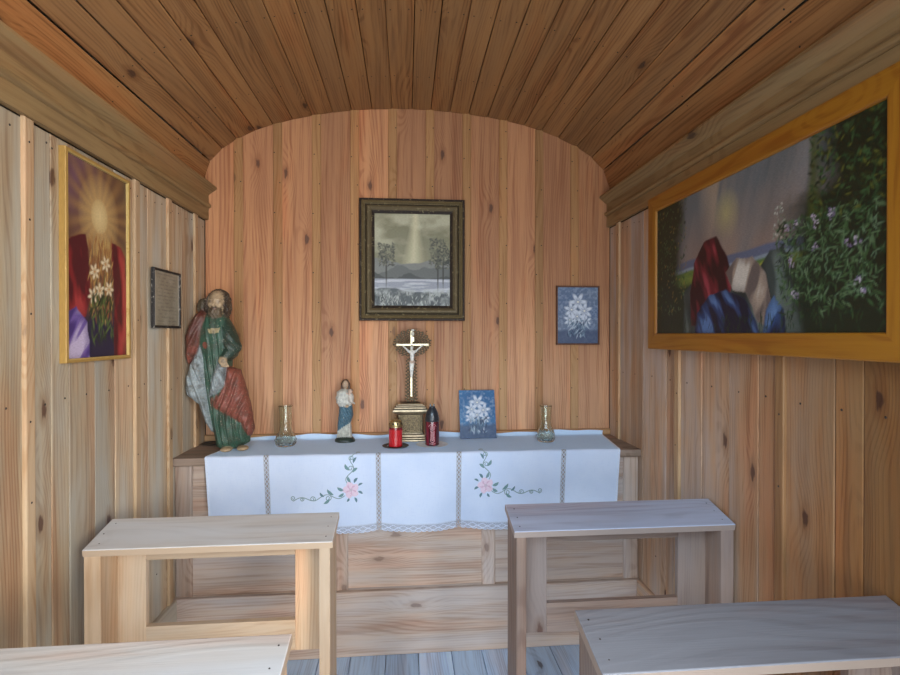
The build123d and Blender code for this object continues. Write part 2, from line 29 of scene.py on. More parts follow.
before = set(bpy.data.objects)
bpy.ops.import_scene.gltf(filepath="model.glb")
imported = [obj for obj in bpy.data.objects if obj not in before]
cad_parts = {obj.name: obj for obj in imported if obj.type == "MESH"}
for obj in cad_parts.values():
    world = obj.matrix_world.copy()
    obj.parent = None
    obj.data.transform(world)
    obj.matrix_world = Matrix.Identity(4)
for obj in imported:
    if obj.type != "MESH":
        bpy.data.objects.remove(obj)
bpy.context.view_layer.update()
chance = np.random.default_rng(41)

# The room as the frame has it
half_width = 1.15
half_depth = 1.35
floor_z = 0.15
wall_top = 2.582
vault_rise = 0.425
altar_z = 1.14
cloth_z = 1.144
outer_x = 1.29
outer_y = 1.49
ridge_z = 3.8115
roof_slope = 0.9004
plinth_top = 0.12


def mm(*numbers):
    """Points of two coordinates, in metres, from a run of millimetres."""
    return np.reshape(numbers, (-1, 2)) / 1000


class Value:
    """A shader output in an expression. Arithmetic with it adds Math nodes to its finish."""

    def __init__(self, finish, socket):
        self.finish, self.socket = finish, socket

    def maths(self, operation, *others):
        return self.finish.node("Math", {"operation": operation}, {i: v for i, v in enumerate((self, *others))})

    __add__ = partialmethod(maths, "ADD")
    __sub__ = partialmethod(maths, "SUBTRACT")
    __mul__ = __rmul__ = partialmethod(maths, "MULTIPLY")

    def __rsub__(self, other):
        return self * -1 + other

    def step(self, low, high, start=0.0, end=1.0):
        """Goes smoothly from start to end while the value goes from low to high."""
        return self.finish.node("MapRange", {"interpolation_type": "SMOOTHSTEP"},
            {"Value": self, "From Min": low, "From Max": high, "To Min": start, "To Max": end})


class Finish:
    """A material built from nodes around one Principled shader."""

    def __init__(self, name, **constants):
        self.material = bpy.data.materials.new(name)
        self.material.use_nodes = True
        self.tree = self.material.node_tree
        self.shader = self.tree.nodes["Principled BSDF"]
        self.put(self.shader, constants)

    def put(self, node, inputs):
        for key, value in inputs.items():
            key = key if isinstance(key, int) else key.replace("_", " ")
            if isinstance(value, Value):
                self.tree.links.new(value.socket, node.inputs[key])
            elif isinstance(value, tuple) and len(value) == 3 and node.inputs[key].type == "RGBA":
                node.inputs[key].default_value = (*value, 1.0)
            else:
                node.inputs[key].default_value = value

    def node(self, kind, settings=None, inputs=None, output=0):
        """Adds a node of a kind, sets its settings, then its inputs, and gives one of its outputs."""
        made = self.tree.nodes.new("ShaderNode" + kind)
        for key, value in (settings or {}).items():
            if key == "stops":
                for number, (place, colour) in enumerate(value):
                    stop = (made.color_ramp.elements[number] if number < 2 else made.color_ramp.elements.new(place))
                    stop.position, stop.color = place, (*colour, 1.0)
            else:
                setattr(made, key, value)
        self.put(made, inputs or {})
        return Value(self, made.outputs[output])

    def mix(self, share, first, second, blend="MIX"):
        """Colours mixed by a share."""
        made = self.tree.nodes.new("ShaderNodeMix")
        made.data_type, made.blend_type = "RGBA", blend
        for key, value in (("Factor", share), ("A", first), ("B", second)):
            slot = [s for s in made.inputs if s.name == key and s.enabled][0]
            if isinstance(value, Value):
                self.tree.links.new(value.socket, slot)
            else:
                slot.default_value = (*value, 1.0) if isinstance(value, tuple) else value
        return Value(self, [s for s in made.outputs if s.enabled][0])

    def place(self, turn=(0, 0, 0)):
        """The object's own metres, turned."""
        return self.node("Mapping", None, {"Vector": self.node("TexCoord", output="Object"), "Rotation": turn})

    def stored(self, name, kind="Vector"):
        """What is stored on the piece: a Vector, a Color or a number (Fac)."""
        return self.node("Attribute", {"attribute_name": name}, output=kind)

    def parts(self, value):
        """The three numbers of a vector."""
        split = self.node("SeparateXYZ", None, {0: value}).socket.node
        return [Value(self, socket) for socket in split.outputs]

    def scaled(self, value, factors):
        """A vector or colour times one number, or times three."""
        if isinstance(factors, tuple):
            return self.node("VectorMath", {"operation": "MULTIPLY"}, {0: value, 1: factors})
        return self.node("VectorMath", {"operation": "SCALE"}, {0: value, "Scale": factors})

    def noise(self, where, scale=1.0, detail=2.0, roughness=0.5):
        """Noise whose grains are 1 / scale long; three scales draw them out."""
        if isinstance(scale, tuple):
            where, scale = self.scaled(where, scale), 1.0
        return self.node("TexNoise", None, {"Vector": where, "Scale": scale, "Detail": detail,
            "Roughness": roughness})

    def relief(self, height, depth, strength=1.0):
        """Bumps the surface by a height from 0 to 1 times a depth in metres."""
        bump = self.node("Bump", None, {"Height": height, "Distance": depth, "Strength": strength})
        self.put(self.shader, {"Normal": bump})

    def finish(self, **inputs):
        self.put(self.shader, inputs)
        return self.material


def wood(name, light, dark, knot=(0.09, 0.036, 0.02), rings=70.0, tone=0.2, stain=None, stain_share=0.5, rough=0.6,
        grain=None, knots=1.0, relief=0.0006, fibre=0.35, painted_light_tint=None, edge=None):
    """Sawn softwood with growth lines, fibres and knots, its pattern solid through each board.
    The growth lines are a sine of the distance across plus a slow noise, bent round the knots. Its light tint,
    (low, high, tint, axis), is painted light and shade: a tint that comes in towards the low end of the room's y,
    or another axis.
    Edge is the colour of a board's sides where their tone is below nought."""
    w = Finish(name)
    if grain is None:
        base, board = w.stored("grain"), w.stored("tone", "Fac")
    else:
        base = w.place(grain)
        board = w.noise(base, 0.3, 0.0)
    across = w.parts(base)[1]
    slow = w.noise(base, (0.9, 5.0, 5.0), 1.0)
    spots = w.node("TexVoronoi", {"voronoi_dimensions": "2D"}, {"Vector": w.scaled(base, (1.25, 3.2, 1.0)),
        "Scale": 1.0})
    ragged = spots + (w.noise(base, (30, 90, 90), 2.0) - 0.5) * 0.06
    growth = (slow * 13.0 + across * rings + spots.step(0.25, 0.02) * 3.0).maths("MULTIPLY", 6.2832).maths("SINE")
    late = growth.step(-0.2, 1.0)
    streak = w.noise(base, (1.3, 30, 30), 4.0, 0.65)
    fibres = w.noise(base, (6, 300, 300), 3.0)
    shade = late * (streak.step(0.35, 0.6) * 0.36 + 0.04) + (streak - 0.5) * 2.2 + (fibres - 0.5) * fibre + 0.3
    colour = w.mix(shade.step(0.0, 1.0), light, dark)
    patch = w.noise(base, (0.9, 6.0, 6.0), 4.0, 0.6)
    colour = w.mix(patch.step(0.5, 0.3), colour, w.scaled(colour, (1.08, 0.9, 0.82)))
    if stain:
        colour = w.mix(patch.step(0.42, 0.66, 0.0, stain_share), colour, stain)
    core, ring = ragged.step(0.044, 0.022) * knots, ragged.step(0.1, 0.04) * knots
    colour = w.mix(core * 0.85, w.mix(ring * 0.6, colour, dark), knot)
    # Painted light and shade: the colour multiplied by a tint that fades in along an axis of the room.
    if painted_light_tint:
        low, high, tint, axis = (*painted_light_tint, 1)[:4]
        colour = w.mix(w.parts(w.place())[axis].step(high, low), colour, w.mix(1.0, colour, tint, "MULTIPLY"))
    if edge:
        colour = w.mix(board.step(-0.1, -0.8) * 0.85, colour, edge)
    w.relief(fibres * 0.5 + late * 0.4 - core * 0.4, relief, 0.8)
    return w.finish(Base_Color=w.scaled(colour, board * tone * 2 + (1 - tone)),
        Roughness=(fibres - 0.5) * 0.2 + late * 0.06 + rough)


def mottled(name, first, second, scale, low=0.35, high=0.65, rough=0.3, spread=0.3, depth=0.0005, **constants):
    """Two colours mixed by a noise that also moves the roughness and the surface."""
    f = Finish(name, **constants)
    spots = f.noise(f.place(), scale, 4.0, 0.6)
    f.relief(spots, depth)
    return f.finish(Base_Color=f.mix(spots.step(low, high), first, second), Roughness=spots * spread + rough)


def piece(name, points, faces, finish, slot, smooth=False, replaces=(), **stored):
    """A mesh in the row frame on the chapel's one body, with numbers or vectors stored on its points."""
    mesh = bpy.data.meshes.new(name)
    points = np.asarray(points, float).reshape(-1, 3)
    mesh.from_pydata(points, [], faces.tolist() if isinstance(faces, np.ndarray) else faces)
    for key, values in stored.items():
        values = np.asarray(values, np.float32)
        if values.ndim == 1:
            mesh.attributes.new(key, "FLOAT", "POINT").data.foreach_set("value", values)
        elif values.shape[1] == 3:
            mesh.attributes.new(key, "FLOAT_VECTOR", "POINT").data.foreach_set("vector", values.ravel())
        else:
            mesh.attributes.new(key, "FLOAT_COLOR", "POINT").data.foreach_set("color", values.ravel())
    mesh.polygons.foreach_set("use_smooth", [smooth] * len(mesh.polygons))
    mesh.update()
    made = bpy.data.objects.new(name, mesh)
    bpy.context.scene.collection.objects.link(made)
    mesh.materials.append(finish)
    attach(made, "root")
    if replaces:
        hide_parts(*replaces)
    return made


def grid_faces(rows, columns, wrap_columns=False):
    """Quads of a grid of points numbered row by row, closed round where it wraps."""
    r = np.arange(rows - 1)[:, None]
    c = np.arange(columns if wrap_columns else columns - 1)[None, :]
    r_next, c_next = r + 1, (c + 1) % columns
    corners = np.broadcast_arrays(r * columns + c, r * columns + c_next, r_next * columns + c_next,
        r_next * columns + c)
    return np.stack(corners, -1).reshape(-1, 4)


def capped(rows, sides):
    """Faces of stacked rings of points, with the first and the last ring closed."""
    return grid_faces(rows, sides, wrap_columns=True).tolist() + [range(sides - 1, -1, -1),
        range((rows - 1) * sides, rows * sides)]


def inset(outline, distance):
    """A polygon moved inwards: each corner goes along the sum of its two edges' inward normals."""
    edge = np.roll(outline, -1, 0) - outline
    edge /= np.linalg.norm(edge, axis=1)[:, None]
    normal = np.stack([-edge[:, 1], edge[:, 0]], 1)
    before = np.roll(normal, 1, 0)
    return outline + distance * (normal + before) / (1 + (normal * before).sum(1))[:, None]


class Gather:
    """Meshes gathered into one piece, with what is stored on their points."""

    def __init__(self):
        self.points, self.faces, self.stored, self.count = [], [], {}, 0

    def add(self, points, faces, **stored):
        points = np.asarray(points, float).reshape(-1, 3)
        self.points.append(points)
        self.faces += [[corner + self.count for corner in face] for face in (faces.tolist()
            if isinstance(faces, np.ndarray) else faces)]
        for key, values in stored.items():
            values = np.asarray(values, float)
            tail = () if values.ndim < 2 and values.size in (1, len(points)) else values.shape[-1:]
            self.stored.setdefault(key, []).append(np.broadcast_to(values.reshape(-1, *tail), (len(points), *tail)))
        self.count += len(points)

    def bead(self, path, wrap, width, proud, sink=0.0002, **stored):
        """A rounded bead along a flat path. Wrap puts (a, b, height) in the room; the height goes round half
        an ellipse across the bead."""
        path = np.asarray(path, float)
        run = np.gradient(path, axis=0)
        run /= np.linalg.norm(run, axis=1)[:, None]
        across = np.linspace(-1, 1, 5)
        half = np.broadcast_to(width, len(path))[:, None, None] / 2
        flat = path[:, None] + np.stack([-run[:, 1], run[:, 0]], 1)[:, None] * across[None, :, None] * half
        rise = proud * np.sqrt(np.clip(1 - across ** 2, 0, 1)) - sink + 0 * flat[..., 0]
        self.add(wrap(flat[..., 0], flat[..., 1], rise), grid_faces(len(path), 5)[:, ::-1], **stored)

    def make(self, name, finish, slot, replaces=(), smooth=False):
        return piece(name, np.concatenate(self.points), self.faces, finish, slot, smooth, replaces,
            **{key: np.concatenate(values) for key, values in self.stored.items()})


class Boards(Gather):
    """Boards, each with its own grain and tone."""

    def plank(self, outline, origin, along, across, thickness, arris=0.002, tone=None, rim=0.0):
        """A board drawn by its outline on its face, which looks along the cross product of along and
        across. Rings of the outline go back from the face: in and level, round the arris (painted paler by
        the rim, a painted highlight), then the back."""
        outline = np.asarray(outline, float)
        x, y = outline[:, 0], outline[:, 1]
        if (x * np.roll(y, -1) - y * np.roll(x, -1)).sum() < 0:
            outline = outline[::-1]
        along, across = np.asarray(along, float), np.asarray(across, float)
        outward = np.cross(along, across)
        rings = [(0.0, -thickness), (0.0, -arris), (0.3 * arris, -0.3 * arris), (arris, 0.0)]
        flat = np.concatenate([np.column_stack([inset(outline, i), np.full(len(outline), d)]) for i, d in rings])
        n = len(outline)
        grain = flat + chance.uniform(-40, 40, 3)
        tone = chance.uniform(0, 1) if tone is None else tone
        self.add(np.asarray(origin) + flat @ np.array([along, across, outward]),
            grid_faces(4, n, wrap_columns=True).tolist() + [range(3 * n, 4 * n), range(n - 1, -1, -1)], grain=grain,
            tone=tone + rim * np.repeat((0, 0, 1, 0.5), n))

    def bar(self, low, high, facing, run, arris=0.002, shift=0.0):
        """A squared board between two corners. Facing is the axis (and sign) of its face, run that of its
        length; shift moves it back along its face."""
        low, high = np.minimum(low, high), np.maximum(low, high)
        axes = np.eye(3)
        outward = axes["xyz".index(facing[-1])] * (-1 if facing[0] == "-" else 1)
        along = axes["xyz".index(run)]
        across = np.cross(outward, along)
        middle = (low + high) / 2
        size = high - low
        length, width, depth = size @ along, abs(size @ across), abs(size @ outward)
        face = middle + outward * (depth / 2 - shift)
        corners = np.array([(-1, -1), (1, -1), (1, 1), (-1, 1)]) * (length / 2, width / 2)
        self.plank(corners, face, along, across, depth, arris)

    def panel(self, points, outward, along, thickness, arris=0.002, tone=None, rim=0.0):
        """A board from its corners in the room: its face looks outward and its grain runs along."""
        points, along = np.asarray(points, float), np.asarray(along, float)
        along = along / np.linalg.norm(along)
        across = np.cross(np.asarray(outward, float) / np.linalg.norm(outward), along)
        self.plank((points - points[0]) @ np.stack([along, across], 1), points[0], along, across, thickness, arris,
            tone, rim)


# Camera where the photograph was taken: just outside the open front, turned a little to the right
lens = bpy.data.cameras.new("camera")
lens.sensor_width = 36.0
lens.lens = 20.074
lens.clip_start = 0.02
camera = bpy.data.objects.new("camera", lens)
camera.location = (-0.0438, -1.5217, 1.7279)
camera.rotation_euler = (math.pi / 2 - 0.006, 0.0, -0.086)
bpy.context.scene.collection.objects.link(camera)
bpy.context.scene.camera = camera
bpy.context.scene.view_settings.view_transform = "Standard"


def lamp(name, place, towards, size, power, colour, spread=math.pi):
    """A soft rectangular lamp that the camera doesn't see."""
    light = bpy.data.lights.new(name, "AREA")
    light.shape = "RECTANGLE"
    light.size, light.size_y = size
    light.energy, light.color, light.spread = power, colour, spread
    made = bpy.data.objects.new(name, light)
    made.location = place
    heading = np.array(towards, float) - place
    made.rotation_euler = (math.atan2(math.hypot(heading[0], heading[1]), -heading[2]), 0.0,
        math.atan2(-heading[0], heading[1]))
    made.visible_camera = False
    bpy.context.scene.collection.objects.link(made)


lamp("key", (2.3, -3.9, 2.3), (-1.1, 0.5, 1.2), (1.8, 1.8), 52, (1.0, 0.98, 0.94), 1.5)
lamp("front_sky", (-1.9, -5.6, 4.9), (0.1, 0.9, 1.0), (6.0, 3.0), 430, (0.62, 0.82, 1.0))
lamp("front_low", (0.0, -4.5, 1.1), (0.0, 0.8, 1.3), (4.0, 1.8), 165, (0.88, 0.94, 1.0))
lamp("side_fill", (6.0, 2.5, 4.5), (0.0, 0.0, 1.5), (4.0, 4.0), 260, (1.0, 0.98, 0.96))
lamp("back_fill", (-5.0, 5.0, 4.5), (0.0, 0.0, 1.5), (4.0, 4.0), 260, (0.97, 0.98, 1.0))
world = bpy.data.worlds.new("studio")
world.use_nodes = True
world.node_tree.nodes["Background"].inputs["Color"].default_value = (0.82, 0.9, 1.0, 1.0)
world.node_tree.nodes["Background"].inputs["Strength"].default_value = 0.55
bpy.context.scene.world = world

# Plain pale floor
ground = bpy.data.meshes.new("studio_floor")
ground.from_pydata([(-14, -14, 0), (14, -14, 0), (14, 14, 0), (-14, 14, 0)], [], [(0, 1, 2, 3)])
studio_floor = bpy.data.objects.new("studio_floor", ground)
bpy.context.scene.collection.objects.link(studio_floor)
ground.materials.append(Finish("studio_paint", Base_Color=(0.4, 0.4, 0.39), Roughness=0.9).material)

# Woods
# The altar wall and its cover strips are painted paler and bluer towards their foot: painted skylight.
wall_pine = wood("altar_wall_pine", (0.505, 0.24, 0.105), (0.3, 0.115, 0.047), stain=(0.4, 0.18, 0.087),
    painted_light_tint=(1.15, 2.1, (1.28, 1.5, 1.85), 2))
strip_pine = wood("strip_pine", (0.42, 0.215, 0.083), (0.31, 0.145, 0.048), tone=0.12, knots=0.6,
    painted_light_tint=(1.15, 2.1, (1.15, 1.3, 1.6), 2))
# Both side walls are painted darker and warmer towards the open front, the right one much more so: painted shade.
left_pine = wood("left_wall_pine", (0.46, 0.36, 0.24), (0.3, 0.2, 0.12), stain=(0.43, 0.42, 0.37), stain_share=0.75,
    painted_light_tint=(-0.35, 0.7, (0.82, 0.78, 0.7)))
right_pine = wood("right_wall_pine", (0.56, 0.36, 0.22), (0.35, 0.2, 0.11), stain=(0.49, 0.43, 0.4),
    stain_share=0.7, painted_light_tint=(-0.45, 0.7, (0.5, 0.31, 0.115)))
# The battens in a lit copy for the left wall and a darker shaded copy for the right wall, which also darkens
# towards the front: painted light and shade.
lit_left_batten = wood("lit_left_batten", (0.55, 0.39, 0.235), (0.45, 0.275, 0.14), tone=0.12, knots=0.6)
shaded_right_batten = wood("shaded_right_batten", (0.47, 0.31, 0.17), (0.37, 0.22, 0.11), tone=0.12, knots=0.6,
    painted_light_tint=(-0.45, 0.7, (0.5, 0.31, 0.115)))
vault_pine = wood("vault_pine", (0.245, 0.119, 0.041), (0.125, 0.051, 0.0155), (0.035, 0.014, 0.007), tone=0.2,
    stain=(0.19, 0.102, 0.043), fibre=0.5)
cornice_pine = wood("cornice_pine", (0.3, 0.195, 0.084), (0.195, 0.115, 0.045), (0.06, 0.028, 0.015),
    grain=(0.0, 0.0, -math.pi / 2), stain=(0.235, 0.15, 0.07))
# The floor boards are painted pale blue-grey: a painted skylight sheen on the pine.
floor_pine = wood("floor_pine", (0.54, 0.72, 0.96), (0.37, 0.48, 0.66), (0.1, 0.09, 0.09), stain=(0.64, 0.79, 0.98),
    stain_share=0.7, rough=0.75)
altar_pine = wood("altar_pine", (0.49, 0.37, 0.29), (0.33, 0.22, 0.16), stain=(0.47, 0.43, 0.42), stain_share=0.6,
    knots=0.6)
altar_top_pine = wood("altar_top_pine", (0.3, 0.22, 0.17), (0.18, 0.12, 0.08), (0.06, 0.03, 0.02),
    grain=(0.0, 0.0, 0.0))
# Lit copies of the desk wood for the left desks and darker shaded copies for the right ones: painted light and
# shade. The right tops are also painted bluish, a skylight cast, and darker and browner on the front desk.
lit_left_desk_pine = wood("lit_left_desk_pine", (0.56, 0.375, 0.225), (0.42, 0.25, 0.13), stain=(0.56, 0.44, 0.32),
    stain_share=0.7, rough=0.55)
lit_left_desk_top = wood("left_desk_top", (0.52, 0.485, 0.455), (0.4, 0.36, 0.33), rings=30, tone=0.08,
    stain=(0.54, 0.55, 0.57), stain_share=0.8, rough=0.5, edge=(0.66, 0.46, 0.29))
shaded_right_desk_pine = wood("shaded_right_desk_pine", (0.27, 0.185, 0.14), (0.175, 0.11, 0.08), stain=(0.275, 0.22, 0.2),
    stain_share=0.7, rough=0.55)
shaded_right_desk_top = wood("right_desk_top", (0.39, 0.42, 0.53), (0.29, 0.3, 0.38), rings=30, tone=0.08,
    stain=(0.43, 0.48, 0.62), stain_share=0.8, rough=0.5, painted_light_tint=(-0.4, 0.1, (0.5, 0.46, 0.4)),
    edge=(0.46, 0.34, 0.26))
larch = wood("weathered_larch", (0.33, 0.25, 0.18), (0.2, 0.14, 0.1), (0.07, 0.04, 0.03), tone=0.4,
    stain=(0.36, 0.34, 0.32), stain_share=0.8, rough=0.8, relief=0.0012)
front_larch = wood("front_larch", (0.22, 0.155, 0.105), (0.14, 0.092, 0.06), (0.05, 0.03, 0.02), tone=0.3,
    stain=(0.23, 0.205, 0.18), stain_share=0.8, rough=0.8, relief=0.0012)
beam_larch = wood("beam_larch", (0.3, 0.21, 0.14), (0.18, 0.12, 0.08), (0.06, 0.035, 0.025),
    grain=(0.0, 0.0, -math.pi / 2), stain=(0.34, 0.32, 0.3), stain_share=0.7, rough=0.8, relief=0.0012)
shingle_wood = wood("shingle_larch", (0.27, 0.24, 0.22), (0.15, 0.13, 0.12), (0.06, 0.05, 0.04), tone=0.5,
    stain=(0.17, 0.17, 0.15), stain_share=0.8, rough=0.85, relief=0.0015, knots=0.3)
iron = mottled("nail_iron", (0.035, 0.022, 0.016), (0.012, 0.01, 0.01), 300.0, rough=0.5, depth=0.0002)


def nails(name, spots, radius=0.0038):
    """Nail heads: low eight-sided domes at (place, outward) pairs."""
    heads = Gather()
    angle = np.arange(8) * math.pi / 4
    for place, out in spots:
        out = np.asarray(out, float) / np.linalg.norm(out)
        side = np.cross(out, (0.3, 0.5, 0.8))
        side /= np.linalg.norm(side)
        ring = np.cos(angle)[:, None] * side + np.sin(angle)[:, None] * np.cross(out, side)
        place = np.asarray(place, float) + chance.normal(0, 0.0025, 3) * (1 - np.abs(out))
        heads.add(np.concatenate([place + ring * radius - out * 0.0003,
            place + ring * radius * 0.7 + out * 0.0008]), grid_faces(2, 8, wrap_columns=True).tolist()
            + [range(8, 16)])
    heads.make(name, iron, "dish_metal")


def vault_height(x):
    """Height of a half ellipse over the springing line."""
    return wall_top + vault_rise * np.sqrt(np.clip(1 - (x / half_width) ** 2, 0, 1))


def roof_height(x):
    """Height of the roof's underside."""
    return ridge_z - np.abs(x) * roof_slope


sides = ((-1, "left"), (1, "right"))


def outwards(side, axis="x"):
    """The way a board faces on a side of the room."""
    return axis if side > 0 else "-" + axis


# Altar wall: lining boards with their joints under the cover strips, the strips, and the gable behind
lining = Boards()
strip_x = -0.97 + 0.2117 * np.arange(10)
edges = np.concatenate([[-half_width], strip_x, [half_width]])
for left, right in zip(edges[:-1], edges[1:]):
    top = float(vault_height(np.linspace(left, right, 5)).max()) + 0.012
    lining.bar((left + 0.001, half_depth, floor_z), (right - 0.001, half_depth + 0.02, top), "-y", "z",
        shift=chance.uniform(0, 0.0015))
lining.make("altar_wall_lining", wall_pine, "altar_wall_pine", ["back_wall"])
strips = Boards()
for x in strip_x:
    strips.bar((x - 0.024, half_depth - 0.009, altar_z + 0.035), (x + 0.024, half_depth, vault_height(x) + 0.004),
        "-y", "z", 0.004)
strips.plank([(-half_width, 0.0), (half_width, 0.0), (half_width, 0.035), (-half_width, 0.035)],
    (0, half_depth - 0.022, altar_z), (1, 0, 0), (0, 0, 1), 0.022, 0.007)
strips.make("altar_wall_strips", strip_pine, "altar_wall_pine")
nails("altar_wall_nails", [((x + 0.015 * (-1) ** k, half_depth - 0.009, z), (0, -1, 0)) for x in strip_x
    for k, z in enumerate(np.arange(1.25, vault_height(x) - 0.03, 0.165))])

# Side walls: lining boards under the cornice, and battens over some of their joints
left_joints = (-0.137, -0.28, -0.431, -0.615, -0.716, -0.859, -0.982, -1.12, -1.202, -1.306, -1.5, -1.67, -1.895,
    -2.08, -2.27, -2.485)
right_joints = (-0.133, -0.28, -0.419, -0.648, -0.756, -0.93, -1.1, -1.259, -1.368, -1.565, -1.654, -1.82, -1.985,
    -2.2, -2.41, -2.6)
battens = ((-0.137, -0.431, -0.716, -1.306, -1.895, -2.485), (-0.133, -0.756, -1.368, -1.985, -2.6))
for side, name, joints, places in ((-1, "left", left_joints, battens[0]), (1, "right", right_joints, battens[1])):
    facing = outwards(-side)
    lining, cover = Boards(), Boards()
    inner = side * half_width
    seams = half_depth + np.array((0.0, *joints, -2 * half_depth))
    for far, near in zip(seams[:-1], seams[1:]):
        lining.bar((inner, near + 0.0012, floor_z), (inner + side * 0.02, far - 0.0012, 2.3545), facing, "z", 0.003,
            shift=chance.uniform(0, 0.002))
    lining.make(f"{name}_wall_lining", left_pine if side < 0 else right_pine, "side_pine", [f"{name}_wall"])
    for place in places:
        y = half_depth + place
        foot = altar_z if y > 0.95 else floor_z + 0.32
        cover.bar((inner, y - 0.019, foot), (inner - side * 0.012, y + 0.019, 2.358), facing, "z", 0.004)
    cover.make(f"{name}_wall_battens", lit_left_batten if name == "left" else shaded_right_batten, "side_pine")
    nails(f"{name}_wall_nails", [((inner - side * 0.012, half_depth + place, z), (-side, 0, 0)) for place in places
        for z in (1.24, 1.47, 1.79, 2.06, 2.29)] + [((inner, (near + far) / 2 + off, z), (-side, 0, 0))
        for near, far in zip(seams[1:], seams[:-1]) for off, z in mm(-30, 2310, 35, 2318, 20, 1520, -20, 660)])

# Vault: boards along the room, chords of the half ellipse between their joints
seams = np.array([-half_width, -1.118, -1.053, -0.977, -0.879, -0.782, -0.675, -0.571, -0.456, -0.353, -0.237,
    -0.126, -0.013, 0.095, 0.204, 0.31, 0.42, 0.532, 0.635, 0.735, 0.837, 0.944, 1.035, 1.108, half_width])
corners = np.stack([seams, vault_height(seams)], 1)
vault, vault_spots = Boards(), []
for start, end in zip(corners[:-1], corners[1:]):
    chord = end - start
    across = np.array([chord[0], 0, chord[1]]) / np.linalg.norm(chord)
    middle = (start + end) / 2
    width = np.linalg.norm(chord) - chance.choice([0.001, 0.002, 0.004])
    inwards = np.cross((0, 1, 0), across)
    lift = chance.uniform(-0.002, 0.001)
    middle = np.array([middle[0], 0, middle[1]]) + inwards * lift
    # A rim of 2.5 paints each board's rounded edges paler than its face: a painted highlight along the joints.
    vault.plank([(-half_depth, -width / 2), (half_depth, -width / 2), (half_depth, width / 2),
        (-half_depth, width / 2)], middle, (0, 1, 0), across, 0.018, 0.005, rim=2.5)
    vault_spots += [(middle + across * off * (width / 2 - 0.02) + (0, y, 0), inwards) for off in (-1, 1)
        for y in (-1.22, -0.66, -0.09, 0.47, 0.98)]
vault.make("vault_boards", vault_pine, "vault_pine", ["vault_ceiling"])
nails("vault_nails", vault_spots, 0.0034)

# Floor boards, running out between the front posts
deck = Boards()
seams = np.concatenate([[-half_width], np.linspace(-0.98, 0.99, 13) + chance.uniform(-0.02, 0.02, 13),
    [half_width]])
for left, right in zip(seams[:-1], seams[1:]):
    near = -outer_y if abs(left + right) / 2 < 1.03 else -half_depth
    deck.bar((left + 0.0015, near, plinth_top), (right - 0.0015, half_depth, floor_z), "z", "y", 0.003,
        shift=chance.uniform(0, 0.0015))
deck.make("floor_deck", floor_pine, "floor_pine", ["floor_boards"])

# Side walls outside: a core and weathered boards with cover strips, standing on the plinth
core_x = 1.264
core_paint = Finish("wall_core", Base_Color=(0.1, 0.07, 0.05), Roughness=0.95).material
for side, name in sides:
    core = Boards()
    core.bar((side * 1.1702, -half_depth, plinth_top), (side * core_x, half_depth, wall_top), "x", "z", 0.0005)
    core.make(f"{name}_wall_core", core_paint, "side_pine")
    cladding = Boards()
    seams = np.linspace(-half_depth, half_depth, 16)
    for near, far in zip(seams[:-1], seams[1:]):
        cladding.bar((side * core_x, near + 0.002, 0.122), (side * (core_x + 0.02), far - 0.002, wall_top),
            outwards(side), "z", 0.002, shift=chance.uniform(0, 0.0015))
    for y in seams[1:-1]:
        cladding.bar((side * 1.28, y - 0.022, 0.135), (side * outer_x, y + 0.022, wall_top), outwards(side), "z",
            0.003)
    cladding.make(f"{name}_wall_cladding", larch, "frame_larch")

plate_x = 1.172
plate_z = 2.702


def gable_boards(boards, y, sign, thickness, seams, low, cover):
    """Upright boards of a gable under the roof's slope, with cover strips over their joints. Low is a
    function that gives the height of their feet."""
    outward = (0, sign, 0)
    for left, right in zip(seams[:-1], seams[1:]):
        at_plate = min(abs(left), abs(right)) > plate_x - 0.001
        left, right = left + 0.002, right - 0.002
        steps = np.linspace(left, right, 7)
        if at_plate:
            top = [(right, wall_top), (left, wall_top)]
        else:
            peak = [(0.0, roof_height(0.0))] if left < 0 < right else []
            top = [(right, roof_height(right)), *peak, (left, roof_height(left))]
        feet = list(zip(steps, low(steps)))
        if feet[0][1] >= top[0][1]:
            continue
        boards.panel([(x, y, z) for x, z in feet + top], outward, (0, 0, 1), thickness, 0.002)
    for x in seams[1:-1]:
        foot = float(np.max(low(np.array([x - cover / 2, x + cover / 2])))) + 0.003
        high = roof_height(abs(x) + cover / 2) if abs(x) < plate_x - 0.03 else wall_top
        if high > foot:
            boards.bar((x - cover / 2, y, foot), (x + cover / 2, y + sign * 0.006, high), outwards(sign, "y"), "z",
                0.003)
    for side in (-1, 1):
        boards.panel([(side * plate_x, y, plate_z), (side * 1.2318, y, plate_z),
            (side * plate_x, y, roof_height(plate_x))], outward, (0, 0, 1), thickness, 0.002)


back_seams = np.concatenate([[-outer_x], np.linspace(-plate_x, plate_x, 14), [outer_x]])
back_outer = Boards()
gable_boards(back_outer, outer_y - 0.006, 1, 0.02, back_seams, lambda x: np.full(len(x), 0.122), 0.044)
back_outer.make("back_cladding", larch, "frame_larch", ["back_wall"])
back_core = Boards()
half_gable = [(outer_x, plinth_top), (outer_x, wall_top), (plate_x, wall_top), (plate_x, roof_height(plate_x))]
back_core.panel([(x, 1.4635, z) for x, z in [(-outer_x, plinth_top), *half_gable, (0, ridge_z),
    *[(-x, z) for x, z in half_gable[:0:-1]]]], (0, 1, 0), (0, 0, 1), 0.0932, 0.0004)
back_core.make("back_wall_core", core_paint, "altar_wall_pine")

# Front gable above the arch, its posts, and a bent board round the arch
arch_x = 1.05
arch_rise = 0.36


def arch_height(x):
    """Height of the front arch, a half ellipse between the posts, level past them."""
    return wall_top + arch_rise * np.sqrt(np.clip(1 - (x / arch_x) ** 2, 0, 1))


